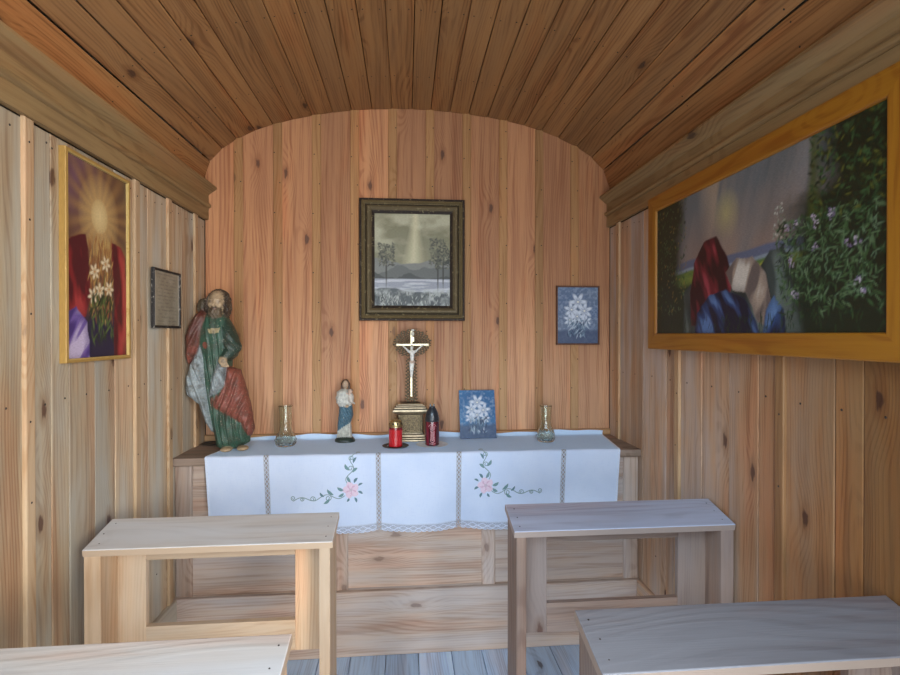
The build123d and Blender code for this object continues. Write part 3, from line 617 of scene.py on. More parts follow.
front_seams = np.concatenate([[-plate_x, -arch_x], np.linspace(-0.93, 0.93, 11), [arch_x, plate_x]])
front_outer = Boards()
gable_boards(front_outer, -outer_y + 0.006, -1, 0.134, front_seams, arch_height, 0.044)
front_outer.make("front_gable_boards", front_larch, "frame_larch", ["front_gable"])
posts = Boards()
for side in (-1, 1):
    posts.bar((side * arch_x, -outer_y, plinth_top), (side * outer_x, -half_depth, wall_top), "-y", "z", 0.006)
posts.make("front_posts", front_larch, "frame_larch", ["left_front_post", "right_front_post"])
turn = np.linspace(0, math.pi, 61)[:, None]
around = mm(0, 0, 0, -18, 85, -18, 85, 0)
arch_points = np.stack([-(arch_x + around[:, 0]) * np.cos(turn), -outer_y + 0.006 + around[:, 1] + 0 * turn,
    wall_top + (arch_rise + around[:, 0]) * np.sin(turn)], -1)
arch_grain = np.stack([turn * 0.9 + 0 * around[:, 0], around[:, 0] + 0 * turn, around[:, 1] + 0 * turn], -1) + 3.3
piece("arch_board", arch_points, grid_faces(61, 4, wrap_columns=True)[:, ::-1].copy(), front_larch, "frame_larch",
    grain=arch_grain.reshape(-1, 3), tone=np.full(arch_points.shape[0] * 4, 0.75))

# Roof: deck boards seen from below, fascias, shingles in lapped courses, bargeboards
pitch = math.radians(42)
for side, name in sides:
    down = np.array([side * math.cos(pitch), 0, -math.sin(pitch)])
    up = np.array([side * math.sin(pitch), 0, math.cos(pitch)])
    ridge = np.array([0, 0, ridge_z])
    eave = 2.031
    deck = Boards()
    seams = np.linspace(0.012, eave, 14)
    for high, low in zip(seams[:-1], seams[1:]):
        corner = [ridge + down * t + np.array([0, y, 0]) for t, y in ((high + 0.0015, -1.714),
            (low - 0.0015, -1.714), (low - 0.0015, 1.714), (high + 0.0015, 1.714))]
        deck.panel(corner, -up, (0, 1, 0), 0.022, 0.002)
    deck.bar((side * 1.512, -1.714, 2.425), (side * 1.534, 1.714, 2.486), outwards(side), "y", 0.003)
    deck.make(f"{name}_roof_deck", larch, "frame_larch", [f"{name}_roof"])
    shingles = Boards()
    for course in range(14):
        butt = eave - 0.003 - course * 0.147
        across = np.cumsum(chance.uniform(0.09, 0.17, 40))
        across = np.concatenate([[0.0], across[across < 3.36], [3.43]]) - 1.715
        for near, far in zip(across[:-1], across[1:]):
            foot = butt - chance.uniform(0, 0.006)
            head = max(foot - 0.3, 0.03)
            lift_foot, lift_head = 0.0575 - chance.uniform(0, 0.003), 0.0575 - 0.028 * (foot - head) / 0.3
            corner = [ridge + down * t + up * lift + np.array([0, y, 0])
                for t, lift, y in ((foot, lift_foot, near + 0.001), (head, lift_head, near + 0.001),
                (head, lift_head, far - 0.001), (foot, lift_foot, far - 0.001))]
            slant = corner[0] - corner[1]
            facing = np.cross(slant, (0, 1, 0))
            facing *= np.sign(facing @ up)
            shingles.panel(corner, facing, slant, 0.009, 0.0015)
    shingles.make(f"{name}_shingles", shingle_wood, "roof_shingle")
barges = Boards()
barge_z = ridge_z + 0.0807
for y, sign in ((-1.74, -1), (1.74, 1)):
    for side in (-1, 1):
        far = 1.55
        barges.panel([(0, y, barge_z), (side * far, y, barge_z - far * roof_slope),
            (side * far, y, barge_z - far * roof_slope - 0.15), (side * (far - 0.04), y,
            barge_z - (far - 0.04) * roof_slope - 0.18), (0, y, barge_z - 0.18)], (0, sign, 0),
            (side * math.cos(pitch), 0, -math.sin(pitch)), 0.0245, 0.004)
barges.make("verge_boards", larch, "frame_larch", ["bargeboards"])

# Plinth: one course of squared stones round a core
stone = Finish("plinth_stone")
grit, cloud = stone.noise(stone.place(), 220.0, 4.0), stone.noise(stone.place(), 9.0, 5.0, 0.6)
pale = stone.mix(cloud.step(0.3, 0.7), (0.33, 0.31, 0.28), (0.47, 0.44, 0.39))
pale = stone.mix((grit * 0.6 + cloud * 0.4).step(0.55, 0.68), pale, (0.2, 0.19, 0.17))
stone.relief(grit * 0.35 + cloud, 0.004)
stone = stone.finish(Base_Color=stone.scaled(pale, stone.stored("tone", "Fac") * 0.35 + 0.82), Roughness=0.9)
course = Boards()
for facing, run, reach, face in (("-y", "x", outer_x, outer_y), ("y", "x", outer_x, outer_y),
        ("-x", "y", outer_y - 0.09, outer_x), ("x", "y", outer_y - 0.09, outer_x)):
    sign = -1 if facing[0] == "-" else 1
    seams = np.linspace(-reach, reach, 7)
    seams[1:-1] += chance.uniform(-0.09, 0.09, 5)
    for near, far in zip(seams[:-1], seams[1:]):
        low, high = [near + 0.003, sign * face, 0.0], [far - 0.003, sign * (face - 0.085), 0.1195]
        if run == "y":
            low, high = [low[1], low[0], 0.0], [high[1], high[0], 0.1195]
        course.bar(low, high, facing, run, 0.008, shift=chance.uniform(0, 0.002))
course.make("plinth_stones", stone, "plinth_stone", ["plinth"])
bed = Boards()
bed.bar((-1.2, -1.4, 0.002), (1.2, 1.4, 0.1185), "z", "x", 0.0005)
bed.bar((-1.285, -1.485, 0.003), (1.285, 1.485, 0.112), "z", "x", 0.0005)
bed.make("plinth_bed", Finish("lime_mortar", Base_Color=(0.36, 0.33, 0.29), Roughness=0.95).material,
    "plinth_stone")


def dress(finish, *nodes):
    """Gives CAD nodes a better finish."""
    for node in nodes:
        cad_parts[node].data.materials.clear()
        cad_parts[node].data.materials.append(finish)


dress(cornice_pine, "left_cornice", "right_cornice")
dress(beam_larch, "roof_beams", "ridge_cap")

# Altar: base board, stiles and rails round three panels, and its top
base_y, face_y, back_y = 0.952, 0.974, 1.004
front_top, rail_foot = 1.103, 0.993
altar = Boards()
altar.plank([(-half_width, 0.0), (half_width, 0.0), (half_width, 0.32), (-half_width, 0.32)], (0, base_y, floor_z),
    (1, 0, 0), (0, 0, 1), 0.022, 0.007, tone=0.6)
for left, right in mm(-1150, -1070, -402, -332, 332, 402, 1070, 1150):
    altar.bar((left, face_y, floor_z), (right, back_y, front_top), "-y", "z", 0.009)
for left, right in mm(-1070, -402, -332, 332, 402, 1070):
    altar.bar((left, face_y, rail_foot), (right, back_y, front_top), "-y", "x", 0.009)
    altar.bar((left, face_y, 0.43), (right, back_y, 0.474), "-y", "x", 0.009)
    altar.bar((left - 0.005, 0.985, 0.45), (right + 0.005, back_y, rail_foot + 0.005), "-y", "x", 0.003)
altar.make("altar_boards", altar_pine, "altar_pine", ["altar_base_board", "altar_front"])
dress(altar_top_pine, "altar_top")

# Skirtings along the side walls
for side, name in sides:
    skirting = Boards()
    skirting.bar((side * half_width, -half_depth, floor_z), (side * (half_width - 0.022), base_y, 0.47),
        outwards(-side), "y", 0.007)
    skirting.make(f"{name}_skirting_board", left_pine if side < 0 else right_pine, "side_pine",
        [f"{name}_skirting"])

# Kneeling desks: end boards, a windowed panel of stiles and rails, and the sloping top
desks = (("left_desk_1", -0.29, -1.076, 0.168), ("right_desk_1", 0.33, 1.144, 0.197),
    ("left_desk_2", -0.292, -1.076, -0.58), ("right_desk_2", 0.35, 1.144, -0.542),)
desk_depth = 0.168
panel_foot = 0.623
desk_spots = []
for name, aisle_x, wall_x, front in desks:
    side = 1 if wall_x > 0 else -1

    def under(setback):
        """Height of the sloping top's underside."""
        return floor_z + 0.865 + setback * 0.04 / desk_depth

    aisle_outer, wall_outer = aisle_x + side * 0.009, wall_x - side * 0.003
    aisle_inner, wall_inner = aisle_outer + side * 0.035, wall_outer - side * 0.05
    body = Boards()
    near, far = front + 0.006, front + desk_depth - 0.006
    for outer, inner in ((aisle_outer, aisle_inner), (wall_outer, wall_inner)):
        low, high = min(outer, inner), max(outer, inner)
        body.panel([(high, near, floor_z), (high, far, floor_z), (high, far, under(far - front)),
            (high, near, under(near - front))], (1, 0, 0), (0, 0, 1), high - low, 0.003)
    window = (aisle_inner + side * 0.099, wall_inner - side * (0.092 if side < 0 else 0.11))
    for a, b in ((aisle_inner, window[0]), (window[1], wall_inner)):
        left, right = min(a, b), max(a, b)
        body.panel([(x, front + 0.1, z) for x, z in ((left, panel_foot), (right, panel_foot), (right, under(0.1)),
            (left, under(0.1)))], (0, -1, 0), (0, 0, 1), 0.022, 0.0015)
    left, right = min(window), max(window)
    for foot, head in ((panel_foot, 0.73), (0.958, under(0.1))):
        body.bar((left, front + 0.1, foot), (right, front + 0.122, head), "-y", "x", 0.0015)
    body.make(f"{name}_boards", lit_left_desk_pine if side < 0 else shaded_right_desk_pine, "desk_pine", [f"{name}_frame"])
    top = Boards()
    low, high = min(aisle_x, wall_x), max(aisle_x, wall_x)
    rise = np.array([0, desk_depth, 0.04])
    corner = np.array([low, front, floor_z + 0.89])
    slope, length = np.cross((1, 0, 0), rise), (high - low, 0, 0)
    # Tone -1 gives the top's sides the edge colour, and a rim of 3 paints its rounded arris paler than its face: a
    # painted highlight.
    top.panel([corner, corner + length, corner + rise + length, corner + rise], slope, (1, 0, 0), 0.0245, 0.003,
        -1.0, 3.0)
    top.make(f"{name}_board", lit_left_desk_top if side < 0 else shaded_right_desk_top, "desk_pine", [f"{name}_top"])
    desk_spots += [(corner + rise * share + ((outer + inner) / 2 - low, 0, 0), slope) for share in (0.18, 0.5, 0.82)
        for outer, inner in ((wall_outer, wall_inner), (aisle_outer, aisle_inner))]
nails("desk_nails", desk_spots, 0.0026)


# Carved and cast figures: solids given by fields that are negative inside, skinned by a surface net
def surface_net(field, low, step):
    """Skins the zero level of a field on a regular grid: a point for each cell that the level crosses, at
    the mean of its edges' crossings, and a quad for each crossed grid edge, facing outwards."""
    inside = field < 0
    corner = [inside[a:a - 1 or None, b:b - 1 or None, c:c - 1 or None] for a in (0, 1) for b in (0, 1)
        for c in (0, 1)]
    count = sum(c.astype(np.int8) for c in corner)
    active = (count > 0) & (count < 8)
    cells = np.argwhere(active)
    number = np.full(active.shape, -1)
    number[active] = np.arange(len(cells))
    total, hits = np.zeros((len(cells), 3)), np.zeros(len(cells))
    unit = np.eye(3, dtype=int)
    faces = []
    for axis in range(3):
        p, q = unit[(axis + 1) % 3], unit[(axis + 2) % 3]
        for start in (0 * p, p, q, p + q):
            a = cells + start
            b = a + unit[axis]
            fa, fb = field[tuple(a.T)], field[tuple(b.T)]
            crossed = (fa < 0) != (fb < 0)
            share = np.where(crossed, fa / np.where(crossed, fa - fb, 1), 0)
            total += (a + share[:, None] * unit[axis]) * crossed[:, None]
            hits += crossed
        first = np.take(inside, range(inside.shape[axis] - 1), axis)
        second = np.take(inside, range(1, inside.shape[axis]), axis)
        edge = np.argwhere(first != second)
        away = [i for i in range(3) if i != axis]
        edge = edge[(edge[:, away] > 0).all(1) & (edge[:, away] < np.array(inside.shape)[away] - 1).all(1)]
        quad = np.stack([number[tuple((edge - s).T)] for s in (p + q, q, 0 * p, p)], 1)
        turned = ~inside[tuple(edge.T)]
        quad[turned] = quad[turned][:, ::-1]
        faces.append(quad)
    return low + step * total / hits[:, None], np.concatenate(faces)


def depth_inside(x, z, outline):
    """How far points lie inside a closed outline, negative outside it: the distance to its nearest edge."""
    outline = np.asarray(outline, float)
    nearest = np.full(np.broadcast(x, z).shape, 1e9)
    inside = np.zeros(nearest.shape, bool)
    for (ax, az), (bx, bz) in zip(outline, np.roll(outline, -1, 0)):
        ex, ez = bx - ax, bz - az
        t = np.clip(((x - ax) * ex + (z - az) * ez) / (ex * ex + ez * ez), 0, 1)
        nearest = np.minimum(nearest, np.hypot(x - ax - t * ex, z - az - t * ez))
        inside ^= ((az > z) != (bz > z)) & (x < ex * (z - az) / (ez if ez else 1e-9) + ax)
    return np.where(inside, nearest, -nearest)


class Sculpture:
    """A figure in parts on one grid between two corners. Each part has a field in metres, a paint colour and how
    far it blends into the parts before it. Ball, limb and cloth take room millimetres."""

    def __init__(self, low, high, step):
        self.low, self.step = np.asarray(low, float), step
        size = np.ceil((np.asarray(high, float) - self.low) / step).astype(int) + 1
        self.x, self.y, self.z = np.meshgrid(*[self.low[i] + step * np.arange(size[i]) for i in range(3)],
            indexing="ij", sparse=True)
        self.parts = []

    def add(self, field, colour, blend=4):
        self.parts.append((np.broadcast_to(field, np.broadcast(self.x, self.y, self.z).shape).astype(np.float32),
            colour, blend / 1000))

    def ball(self, middle, radii, colour, blend=4, bump=0.0, floor=0.0):
        """An ellipsoid: its scaled distance from the middle less one, times its least radius, with a bump in
        metres, cut off under the floor."""
        middle, radii = np.divide(middle, 1000), np.divide(radii, 1000)
        away = sum(((p - m) / r) ** 2 for p, m, r in zip((self.x, self.y, self.z), middle, radii))
        self.add(np.maximum((np.sqrt(away) - 1) * min(radii) + bump, floor - self.z), colour, blend)

    def limb(self, start, end, thick, thin, colour, blend=4):
        """A round limb: the distance to a line, less a radius that changes along it."""
        start, end, thick, thin = (np.divide(v, 1000) for v in (start, end, thick, thin))
        run = end - start
        away = [p - s for p, s in zip((self.x, self.y, self.z), start)]
        t = np.clip(sum(a * r for a, r in zip(away, run)) / (run @ run), 0, 1)
        self.add(np.sqrt(sum((a - t * r) ** 2 for a, r in zip(away, run))) - thick - (thin - thick) * t, colour,
            blend)

    def cloth(self, outline, middle, depth, roll, colour, fold, width, lean=0.0, wave=0.0):
        """A garment with a rounded edge: an ellipse's curve from its outline inwards to its full depth,
        with folds that run down it, as a sine across, leaning and swaying with height."""
        x, z = self.x, self.z
        middle, depth, roll, width, wave = (v / 1000 for v in (middle, depth, roll, width, wave))
        inside = depth_inside(x, z, above_floor(*outline))
        across = (x + lean * z + wave * np.sin(z * 21)) * 2 * math.pi / width
        full = depth * (1 + fold * (np.sin(across) + 0.4 * np.sin(across * 1.7 + z * 30)))
        edge = np.clip(1 - inside / roll, 0, None)
        self.add((np.sqrt(((self.y - middle) / full) ** 2 + edge ** 2) - 1) * 0.5 * roll, colour)

    def skin(self, name, finish, slot, replaces=(), paint=None):
        total = None
        for field, _, blend in self.parts:
            if total is None:
                total = field.copy()
            else:
                share = np.clip(0.5 + 0.5 * (total - field) / blend, 0, 1)
                total = total * (1 - share) + field * share - blend * share * (1 - share)
        points, faces = surface_net(total, self.low, self.step)
        spot = np.clip(np.rint((points - self.low) / self.step).astype(int), 0, np.array(total.shape) - 1)
        near = np.stack([field[tuple(spot.T)] for field, _, _ in self.parts])
        weight = np.exp(-(near - near.min(0)) / (0.35 * self.step))
        weight /= weight.sum(0)
        colour = weight.T @ np.array([c for _, c, _ in self.parts])
        if paint:
            colour = paint(points, colour)
        shade = np.column_stack([colour, np.ones(len(colour))])
        return piece(name, points, faces, finish, slot, smooth=True, replaces=replaces, paint=shade)


def painted(name, rough, wear, worn, relief=0.0006, grime=0.5):
    """Old oil paint on carved wood or plaster: stored colours, brushed and dirty, chipped to the ground."""
    f = Finish(name)
    brush, dirt, chips = (f.noise(f.place(), *n) for n in ((90.0, 4.0, 0.6), (28.0, 5.0, 0.65), (160.0, 3.0)))
    colour = f.scaled(f.stored("paint", "Color"), brush.step(0.3, 0.7, 0.78, 1.2))
    colour = f.mix(dirt.step(0.45, 0.75, 0.0, grime), colour, (0.05, 0.035, 0.025))
    chip = chips.step(0.66 - wear, 0.69 - wear)
    colour = f.mix(chip * 0.85, colour, worn)
    f.relief(brush * 0.4 - chip * 0.5, relief)
    return f.finish(Base_Color=colour, Roughness=chip * 0.25 + rough)


def above_floor(*numbers):
    """Outline points in the room, from millimetres across and above the floor."""
    return mm(*numbers) + (0, floor_z)


robe_green, robe_dark = (0.032, 0.085, 0.055), (0.02, 0.044, 0.031)
earth_red = (0.235, 0.068, 0.046)
lining_grey, flesh, hair_brown = (0.27, 0.31, 0.32), (0.42, 0.3, 0.18), (0.055, 0.035, 0.022)
saint = Sculpture((-1.172, 1.02, 1.135), (-0.8, 1.215, 1.975), 0.0032)
saint.cloth((-1048, 1668, -1060, 1561, -1064, 1459, -1057, 1317, -1028, 1147, -1003, 1011, -979, 996, -902, 998,
    -844, 1030, -840, 1116, -879, 1185, -923, 1288, -934, 1401, -923, 1538, -933, 1617, -966, 1668, -1015, 1679),
    1122, 62, 50, robe_green, 0.1, 30, 0.1, 4)
saint.cloth((-1054, 1628, -1064, 1561, -1089, 1493, -1125, 1439, -1137, 1428, -1147, 1493, -1147, 1572, -1132, 1623,
    -1102, 1679, -1070, 1702, -1048, 1668), 1112, 62, 45, earth_red, 0.07, 40, -0.5)
saint.cloth((-1070, 1521, -1121, 1437, -1143, 1358, -1147, 1313, -1137, 1273, -1082, 1227, -1050, 1136, -1022, 1088,
    -1012, 1090, -1036, 1221, -1045, 1317, -1052, 1425), 1104, 52, 40, lining_grey, 0.1, 34, 0.35)
saint.cloth((-950, 1645, -922, 1617, -898, 1572, -885, 1521, -901, 1469, -928, 1447, -958, 1464, -966, 1538, -966,
    1611), 1108, 56, 40, robe_dark, 0.06, 30, 0.8)
saint.cloth((-945, 1419, -884, 1401, -857, 1316, -830, 1207, -816, 1098, -830, 1064, -844, 1070, -880, 1134, -962,
    1177, -1019, 1215, -1026, 1263, -989, 1288, -956, 1322), 1104, 60, 45, earth_red, 0.1, 36, -0.4, 4)
saint.cloth((-980, 1436, -945, 1425, -945, 1328, -985, 1280, -1024, 1266, -1009, 1357, -996, 1402), 1088, 58, 28,
    lining_grey, 0.1, 18, 0.3)
saint.ball((-1010, 1120, 1720), (85, 66, 120), robe_green, 20)
saint.limb((-905, 1100, 1665), (-948, 1062, 1612), 28, 20, robe_dark, 10)
saint.ball((-952, 1048, 1597), (21, 14, 20), flesh)
for finger in range(4):
    saint.limb((-962 + finger * 9, 1042, 1592), (-950 + finger * 10, 1038, 1570), 5.2, 4.2, flesh, 3)
for place in ((-940, 1062, 1156), (-862, 1066, 1160)):
    saint.ball(place, (28, 34, 12), flesh)
saint.limb((-1004, 1122, 1790), (-998, 1112, 1850), 34, 30, flesh, 8)
curl = 0.0035 * np.sin(saint.x * 330 + 5 * np.sin(saint.z * 90)) * np.sin(saint.z * 260 + saint.y * 120)
saint.ball((-998, 1116, 1890), (43, 49, 60), flesh, 6)
saint.ball((-998, 1136, 1902), (54, 52, 58), hair_brown, 3, bump=curl)
for side in (-1, 1):
    saint.ball((-998 + side * 46, 1122, 1872), (16, 36, 56), hair_brown, 4, bump=curl)
    saint.ball((-998 + side * 15, 1072.5, 1893), (7.5, 6, 4.8), (0.3, 0.22, 0.15), 3)
    saint.limb((-998 + side * 6, 1065.5, 1905), (-998 + side * 26, 1074, 1903), 5, 4, flesh, 6)
    saint.ball((-998 + side * 21, 1079, 1876), (13, 11, 12), flesh, 8)
    saint.limb((-998, 1062, 1862), (-998 + side * 22, 1074, 1852), 5.5, 4, hair_brown, 3)
saint.limb((-998, 1067, 1900), (-998, 1057, 1874), 4.5, 7.5, flesh, 6)
saint.limb((-1004, 1063, 1856), (-992, 1063, 1856), 3.4, 3.4, (0.34, 0.16, 0.11), 3)
saint.ball((-999, 1083, 1838), (32, 26, 34), (0.12, 0.085, 0.05), 4, bump=curl)
saint.ball((-1076, 1138, 1868), (30, 36, 44), (0.07, 0.052, 0.03), 6, bump=curl * 0.8)


def saint_details(points, colour):
    """A pale yoke, a red seal at the waist, and the paler and red paint darker towards the top on the wall side."""
    x, y, z = points.T
    yoke = depth_inside(x, z, above_floor(-1026, 1606, -966, 1611, -972, 1586, -1018, 1583)) > 0
    colour = np.where((yoke & (y < 1.1))[:, None], (0.4, 0.32, 0.17), colour)
    seal = np.hypot(x + 1.039, (z - 1.675) * 0.8) < 0.014
    colour = np.where((seal & (y < 1.1))[:, None], earth_red, colour)
    upper = np.clip((z - 1.62) / 0.1, 0, 1)[:, None] * (colour[:, :1] > 0.2) * (x < -1.05)[:, None]
    return colour * (1 - 0.55 * upper)


saint.skin("saint_carving", painted("painted_carving", 0.5, 0.02, (0.36, 0.31, 0.22), grime=0.75),
    "painted_carving", ["saint_statue"], saint_details)

# Small plaster figure of a mother with a child, on an oval base
cream, blue, pink = (0.52, 0.52, 0.47), (0.075, 0.155, 0.21), (0.5, 0.45, 0.39)
face, child_face, dark_hair = (0.55, 0.4, 0.28), (0.58, 0.42, 0.33), (0.07, 0.035, 0.02)
group = Sculpture((-0.445, 1.195, 1.138), (-0.312, 1.305, 1.502), 0.0017)
group.ball((-379, 1249, 1150), (54.5, 46, 29), (0.02, 0.035, 0.03), floor=1.1442)
group.cloth((-419, 1056, -398, 1085, -368, 1100, -347, 1104, -341, 1020, -379, 1016, -424, 1020), 1249, 32, 22,
    cream, 0.1, 11)
group.cloth((-409, 1192, -397, 1200, -371, 1196, -340, 1195, -334, 1140, -343, 1111, -354, 1092, -384, 1071, -419,
    1051, -419, 1087, -413, 1142), 1249, 37, 24, blue, 0.08, 13, 0.5)
group.cloth((-408, 1277, -423, 1266, -425, 1234, -425, 1209, -413, 1190, -397, 1178, -373, 1176, -352, 1180, -340,
    1200, -338, 1233, -346, 1262, -363, 1277, -381, 1282), 1250, 34, 22, cream, 0.05, 16, -0.3)
group.limb((-414, 1235, 1385), (-372, 1215, 1344), 13, 8, cream, 4)
group.ball((-364, 1211, 1342), (10, 7, 7), flesh)
group.limb((-377, 1249, 1420), (-376, 1247, 1445), 10, 9, flesh, 4)
group.ball((-376, 1241, 1456), (15.5, 17.5, 21.5), face, 2)
group.limb((-376, 1224.5, 1458), (-376, 1222.2, 1451), 1.8, 2.6, face, 3)
group.ball((-377, 1253, 1464), (20.5, 19.5, 20.5), dark_hair, 2)
for side in (-1, 1):
    group.limb((-377 + side * 18, 1255, 1460), (-377 + side * 20, 1252, 1425), 7, 6, dark_hair, 3)
group.ball((-345, 1222, 1385), (17, 15, 30), pink, 3)
group.ball((-347, 1216, 1422), (11.5, 12, 13), child_face, 2)
group.ball((-346, 1220, 1427), (11.5, 11, 10), (0.14, 0.08, 0.04), 1)
group.limb((-340, 1214, 1368), (-326, 1210, 1358), 7, 5.5, pink, 3)
group.limb((-350, 1210, 1405), (-366, 1212, 1412), 4.2, 3.6, child_face, 2)
group.skin("mother_and_child", painted("painted_plaster", 0.42, -0.02, (0.7, 0.68, 0.62), 0.0003, 0.25),
    "painted_plaster", ["small_statue"])

# Crucifix: cast figure, cross bars, and the fretted cloud and column behind them
bronze = mottled("dark_bronze", (0.055, 0.04, 0.024), (0.17, 0.13, 0.075), 160.0, 0.35, 0.7, 0.4, Metallic=0.7)
cross_x, cross_z = -0.0115, 1.6715
fret = Sculpture((-0.14, 1.249, 1.35), (0.112, 1.263, 1.765), 0.0013)
x, z = fret.x - cross_x, fret.z - (cross_z + 0.012)
turn, reach = np.arctan2(z, x * 0.68), np.hypot(x * 0.68, z)
cloud = (depth_inside(fret.x, fret.z, above_floor(-121, 1531, -98, 1571, -67, 1596, -21, 1606, 29, 1599, 65, 1576,
    93, 1539, 83, 1507, 56, 1480, 29, 1462, -12, 1458, -71, 1462, -98, 1490)) + 0.008 * np.abs(np.sin(turn * 8))
    - 0.004)
holes = np.sin(turn * 30) * np.sin(reach * 2 * math.pi / 0.021) - 0.25
cloud = np.minimum(cloud, -holes * 0.006)
column = (0.032 - 0.006 * (fret.z - 1.355) / 0.235 + 0.005 * np.sin(fret.z * 2 * math.pi / 0.019)
    - np.abs(fret.x + 0.0185))
slots = (np.sin((fret.z - 1.36) * 2 * math.pi / 0.019 + 1.2) * np.sin(np.abs(fret.x + 0.0185) * 2 * math.pi / 0.024)
    - 0.3)
column = np.minimum(np.minimum(column, -slots * 0.006), np.minimum(fret.z - 1.3555, 1.6 - fret.z))
fret.add(np.maximum(np.abs(fret.y - 1.2585) - 0.0026, -np.maximum(cloud, column)), (0.2, 0.15, 0.08))
fret.skin("crucifix_fret", bronze, "gilt_metal", ["crucifix"])
gilt = mottled("pale_gilt", (0.62, 0.52, 0.3), (0.8, 0.74, 0.55), 140.0, 0.3, 0.7, 0.25, Metallic=0.7)
bars = Boards()
bars.bar((-0.0185 - 0.006, 1.2435, 1.386), (-0.0185 + 0.006, 1.2555, 1.748), "-y", "z", 0.0015)
bars.bar((-0.095, 1.2425, 1.6655), (0.072, 1.2545, 1.6775), "-y", "x", 0.0015)
bars.bar((-0.02, 1.2395, 1.688), (-0.003, 1.2445, 1.716), "-y", "z", 0.001)
for x, z in ((-0.095, 1.6715), (0.072, 1.6715)):
    bars.bar((x - 0.007, 1.241, z - 0.008), (x + 0.007, 1.255, z + 0.008), "-y", "z", 0.0035)
bars.make("cross_bars", gilt, "gilt_metal")
ivory, shade = (0.72, 0.7, 0.64), (0.55, 0.4, 0.3)
body = Sculpture((-0.09, 1.222, 1.484), (0.066, 1.25, 1.762), 0.0013)
body.limb((-14, 1239, 1628), (-15, 1238, 1590), 12.5, 10.5, ivory, 3)
for side in (-1, 1):
    body.limb((-14 + side * 8, 1239, 1632), (-14 + side * 19, 1240, 1635), 9, 6.5, ivory, 4)
    body.limb((-14 + side * 19, 1240, 1636), (-13 + side * 40, 1240, 1655), 5.5, 4.2, ivory, 3)
    body.limb((-13 + side * 40, 1240, 1655), (-12 + side * 59, 1241, 1671), 4.2, 3, ivory, 3)
    body.limb((-15.5 + side * 6, 1238, 1575), (-17 + side * 4, 1233, 1535), 8.5, 6, ivory, 3)
    body.limb((-17 + side * 4, 1233, 1535), (-18 + side * 2, 1240, 1494), 6, 3.6, ivory, 3)
body.ball((-15, 1237.5, 1577), (15.5, 10.5, 13), shade, 2, bump=0.0008 * np.sin(body.x * 900 + body.z * 500))
body.limb((-14, 1238, 1640), (-16, 1235, 1648), 5, 5, ivory, 2)
body.ball((-17, 1233.5, 1655), (8.5, 9.5, 11.5), ivory, 2)
body.ball((-16, 1236.5, 1659), (10.5, 10, 11), (0.48, 0.44, 0.37), 1)
body.ball((-11.5, 1241.5, 1752), (10, 8, 6), ivory, 2)
body.ball((-11.5, 1241.5, 1732), (9, 7, 13), (0.6, 0.58, 0.5), 2)
body.skin("cast_figure", painted("cast_white", 0.4, -0.06, (0.5, 0.3, 0.2), 0.0002, 0.15), "painted_plaster")


# Altar cloth: linen with insertion strips, a lace border and stitched roses. Places on it are (across, down):
# metres across from the room's middle, and metres down from the fold at the altar's front edge
cloth_line = mm(1317.5, 1170, 1317, 1154.5, 1314, 1148.5, 1308, 1145.5, 1280, 1145, 954, 1145, 950, 1143.5, 947.5,
    1140, 946.8, 1134, 946.6, 745)
cloth_run = np.concatenate([[0], np.cumsum(np.linalg.norm(np.diff(cloth_line, axis=0), axis=1))])
cloth_run -= cloth_run[6]
cloth_left, cloth_right = -1.0, 1.04
openwork = np.array([-0.717, -0.183, 0.214, 0.746])


def hem_length(across):
    """How far down the hem lies: shortest at the openwork, lowest between, as the root of a sine."""
    seams = np.concatenate([[-1.17], openwork, [1.19]])
    k = np.clip(np.searchsorted(seams, across) - 1, 0, len(seams) - 2)
    share = (across - seams[k]) / (seams[k + 1] - seams[k])
    return 0.362 + 0.024 * np.sqrt(np.clip(np.sin(math.pi * share), 0, 1))


def cloth_at(across, down, proud=0.0):
    """The cloth in the room: its section swept across, wider at the back and narrower at the hem, with
    hanging folds as sines that grow downwards, small creases on the top and a wavy edge at the wall."""
    across, down = np.broadcast_arrays(np.asarray(across, float), np.asarray(down, float))
    y, z = np.interp(down, cloth_run, cloth_line[:, 0]), np.interp(down, cloth_run, cloth_line[:, 1])
    back = np.clip(-down / 0.39, 0, 1)
    hang = np.clip(down / 0.38, 0, 1.1)
    x = across + back * (0.067 - 0.01 * across) + hang * (0.02 - across) * 0.026
    near = np.abs(across[..., None] - openwork).min(-1)
    fold = (np.sin(across * 17.0 + 1.3 * np.sin(across * 3.1)) + 0.6 * np.sin(across * 29.0 + 2.0 + down * 3)
        + 0.35 * np.sin(across * 53.0 + down * 6))
    loose = hang ** 1.4 * (0.0075 * (1 + 0.5 * fold) + 0.006 * np.exp(-(near / 0.035) ** 2))
    crease = 0.0011 * np.sin(across * 90 + 9 * np.sin(down * 31)) * np.sin(down * 24 + across * 7)
    diagonal = 0.0014 * np.sin(across * 37 - down * 45 + 2 * np.sin(across * 5))
    y = y - loose - np.where(down > 0, np.abs(crease) * 1.2 + diagonal * hang ** 0.5, 0)
    level = (down < -0.002) & (y < 1.306)
    z = z + np.where(level, np.abs(crease) + 0.0008 * (1 + np.sin(across * 23)), 0)
    turned_up = np.clip((z - 1.15) / 0.018, 0, 1)
    z = z + turned_up * (0.0055 * np.sin(across * 9.0 + 0.6) + 0.003 * np.sin(across * 27))
    y = y - proud * np.clip(down / 0.004 + 0.5, 0, 1)
    z = z + proud * np.clip(0.5 - down / 0.004, 0, 1) * (y < 1.306)
    return np.stack([x, y, z], -1)


rows, columns = 110, 300
u = np.linspace(cloth_left, cloth_right, columns)[None, :]
v = np.linspace(0, 1, rows)[:, None]
down = cloth_run[0] + v * (hem_length(u) - cloth_run[0])
across = u + 0 * v
linen = Finish("embroidered_linen", Sheen_Weight=0.5, Sheen_Roughness=0.5, Sheen_Tint=(0.55, 0.75, 1.0),
    Specular_IOR_Level=0.25)
flat_x, flat_y, _ = linen.parts(linen.stored("flat"))


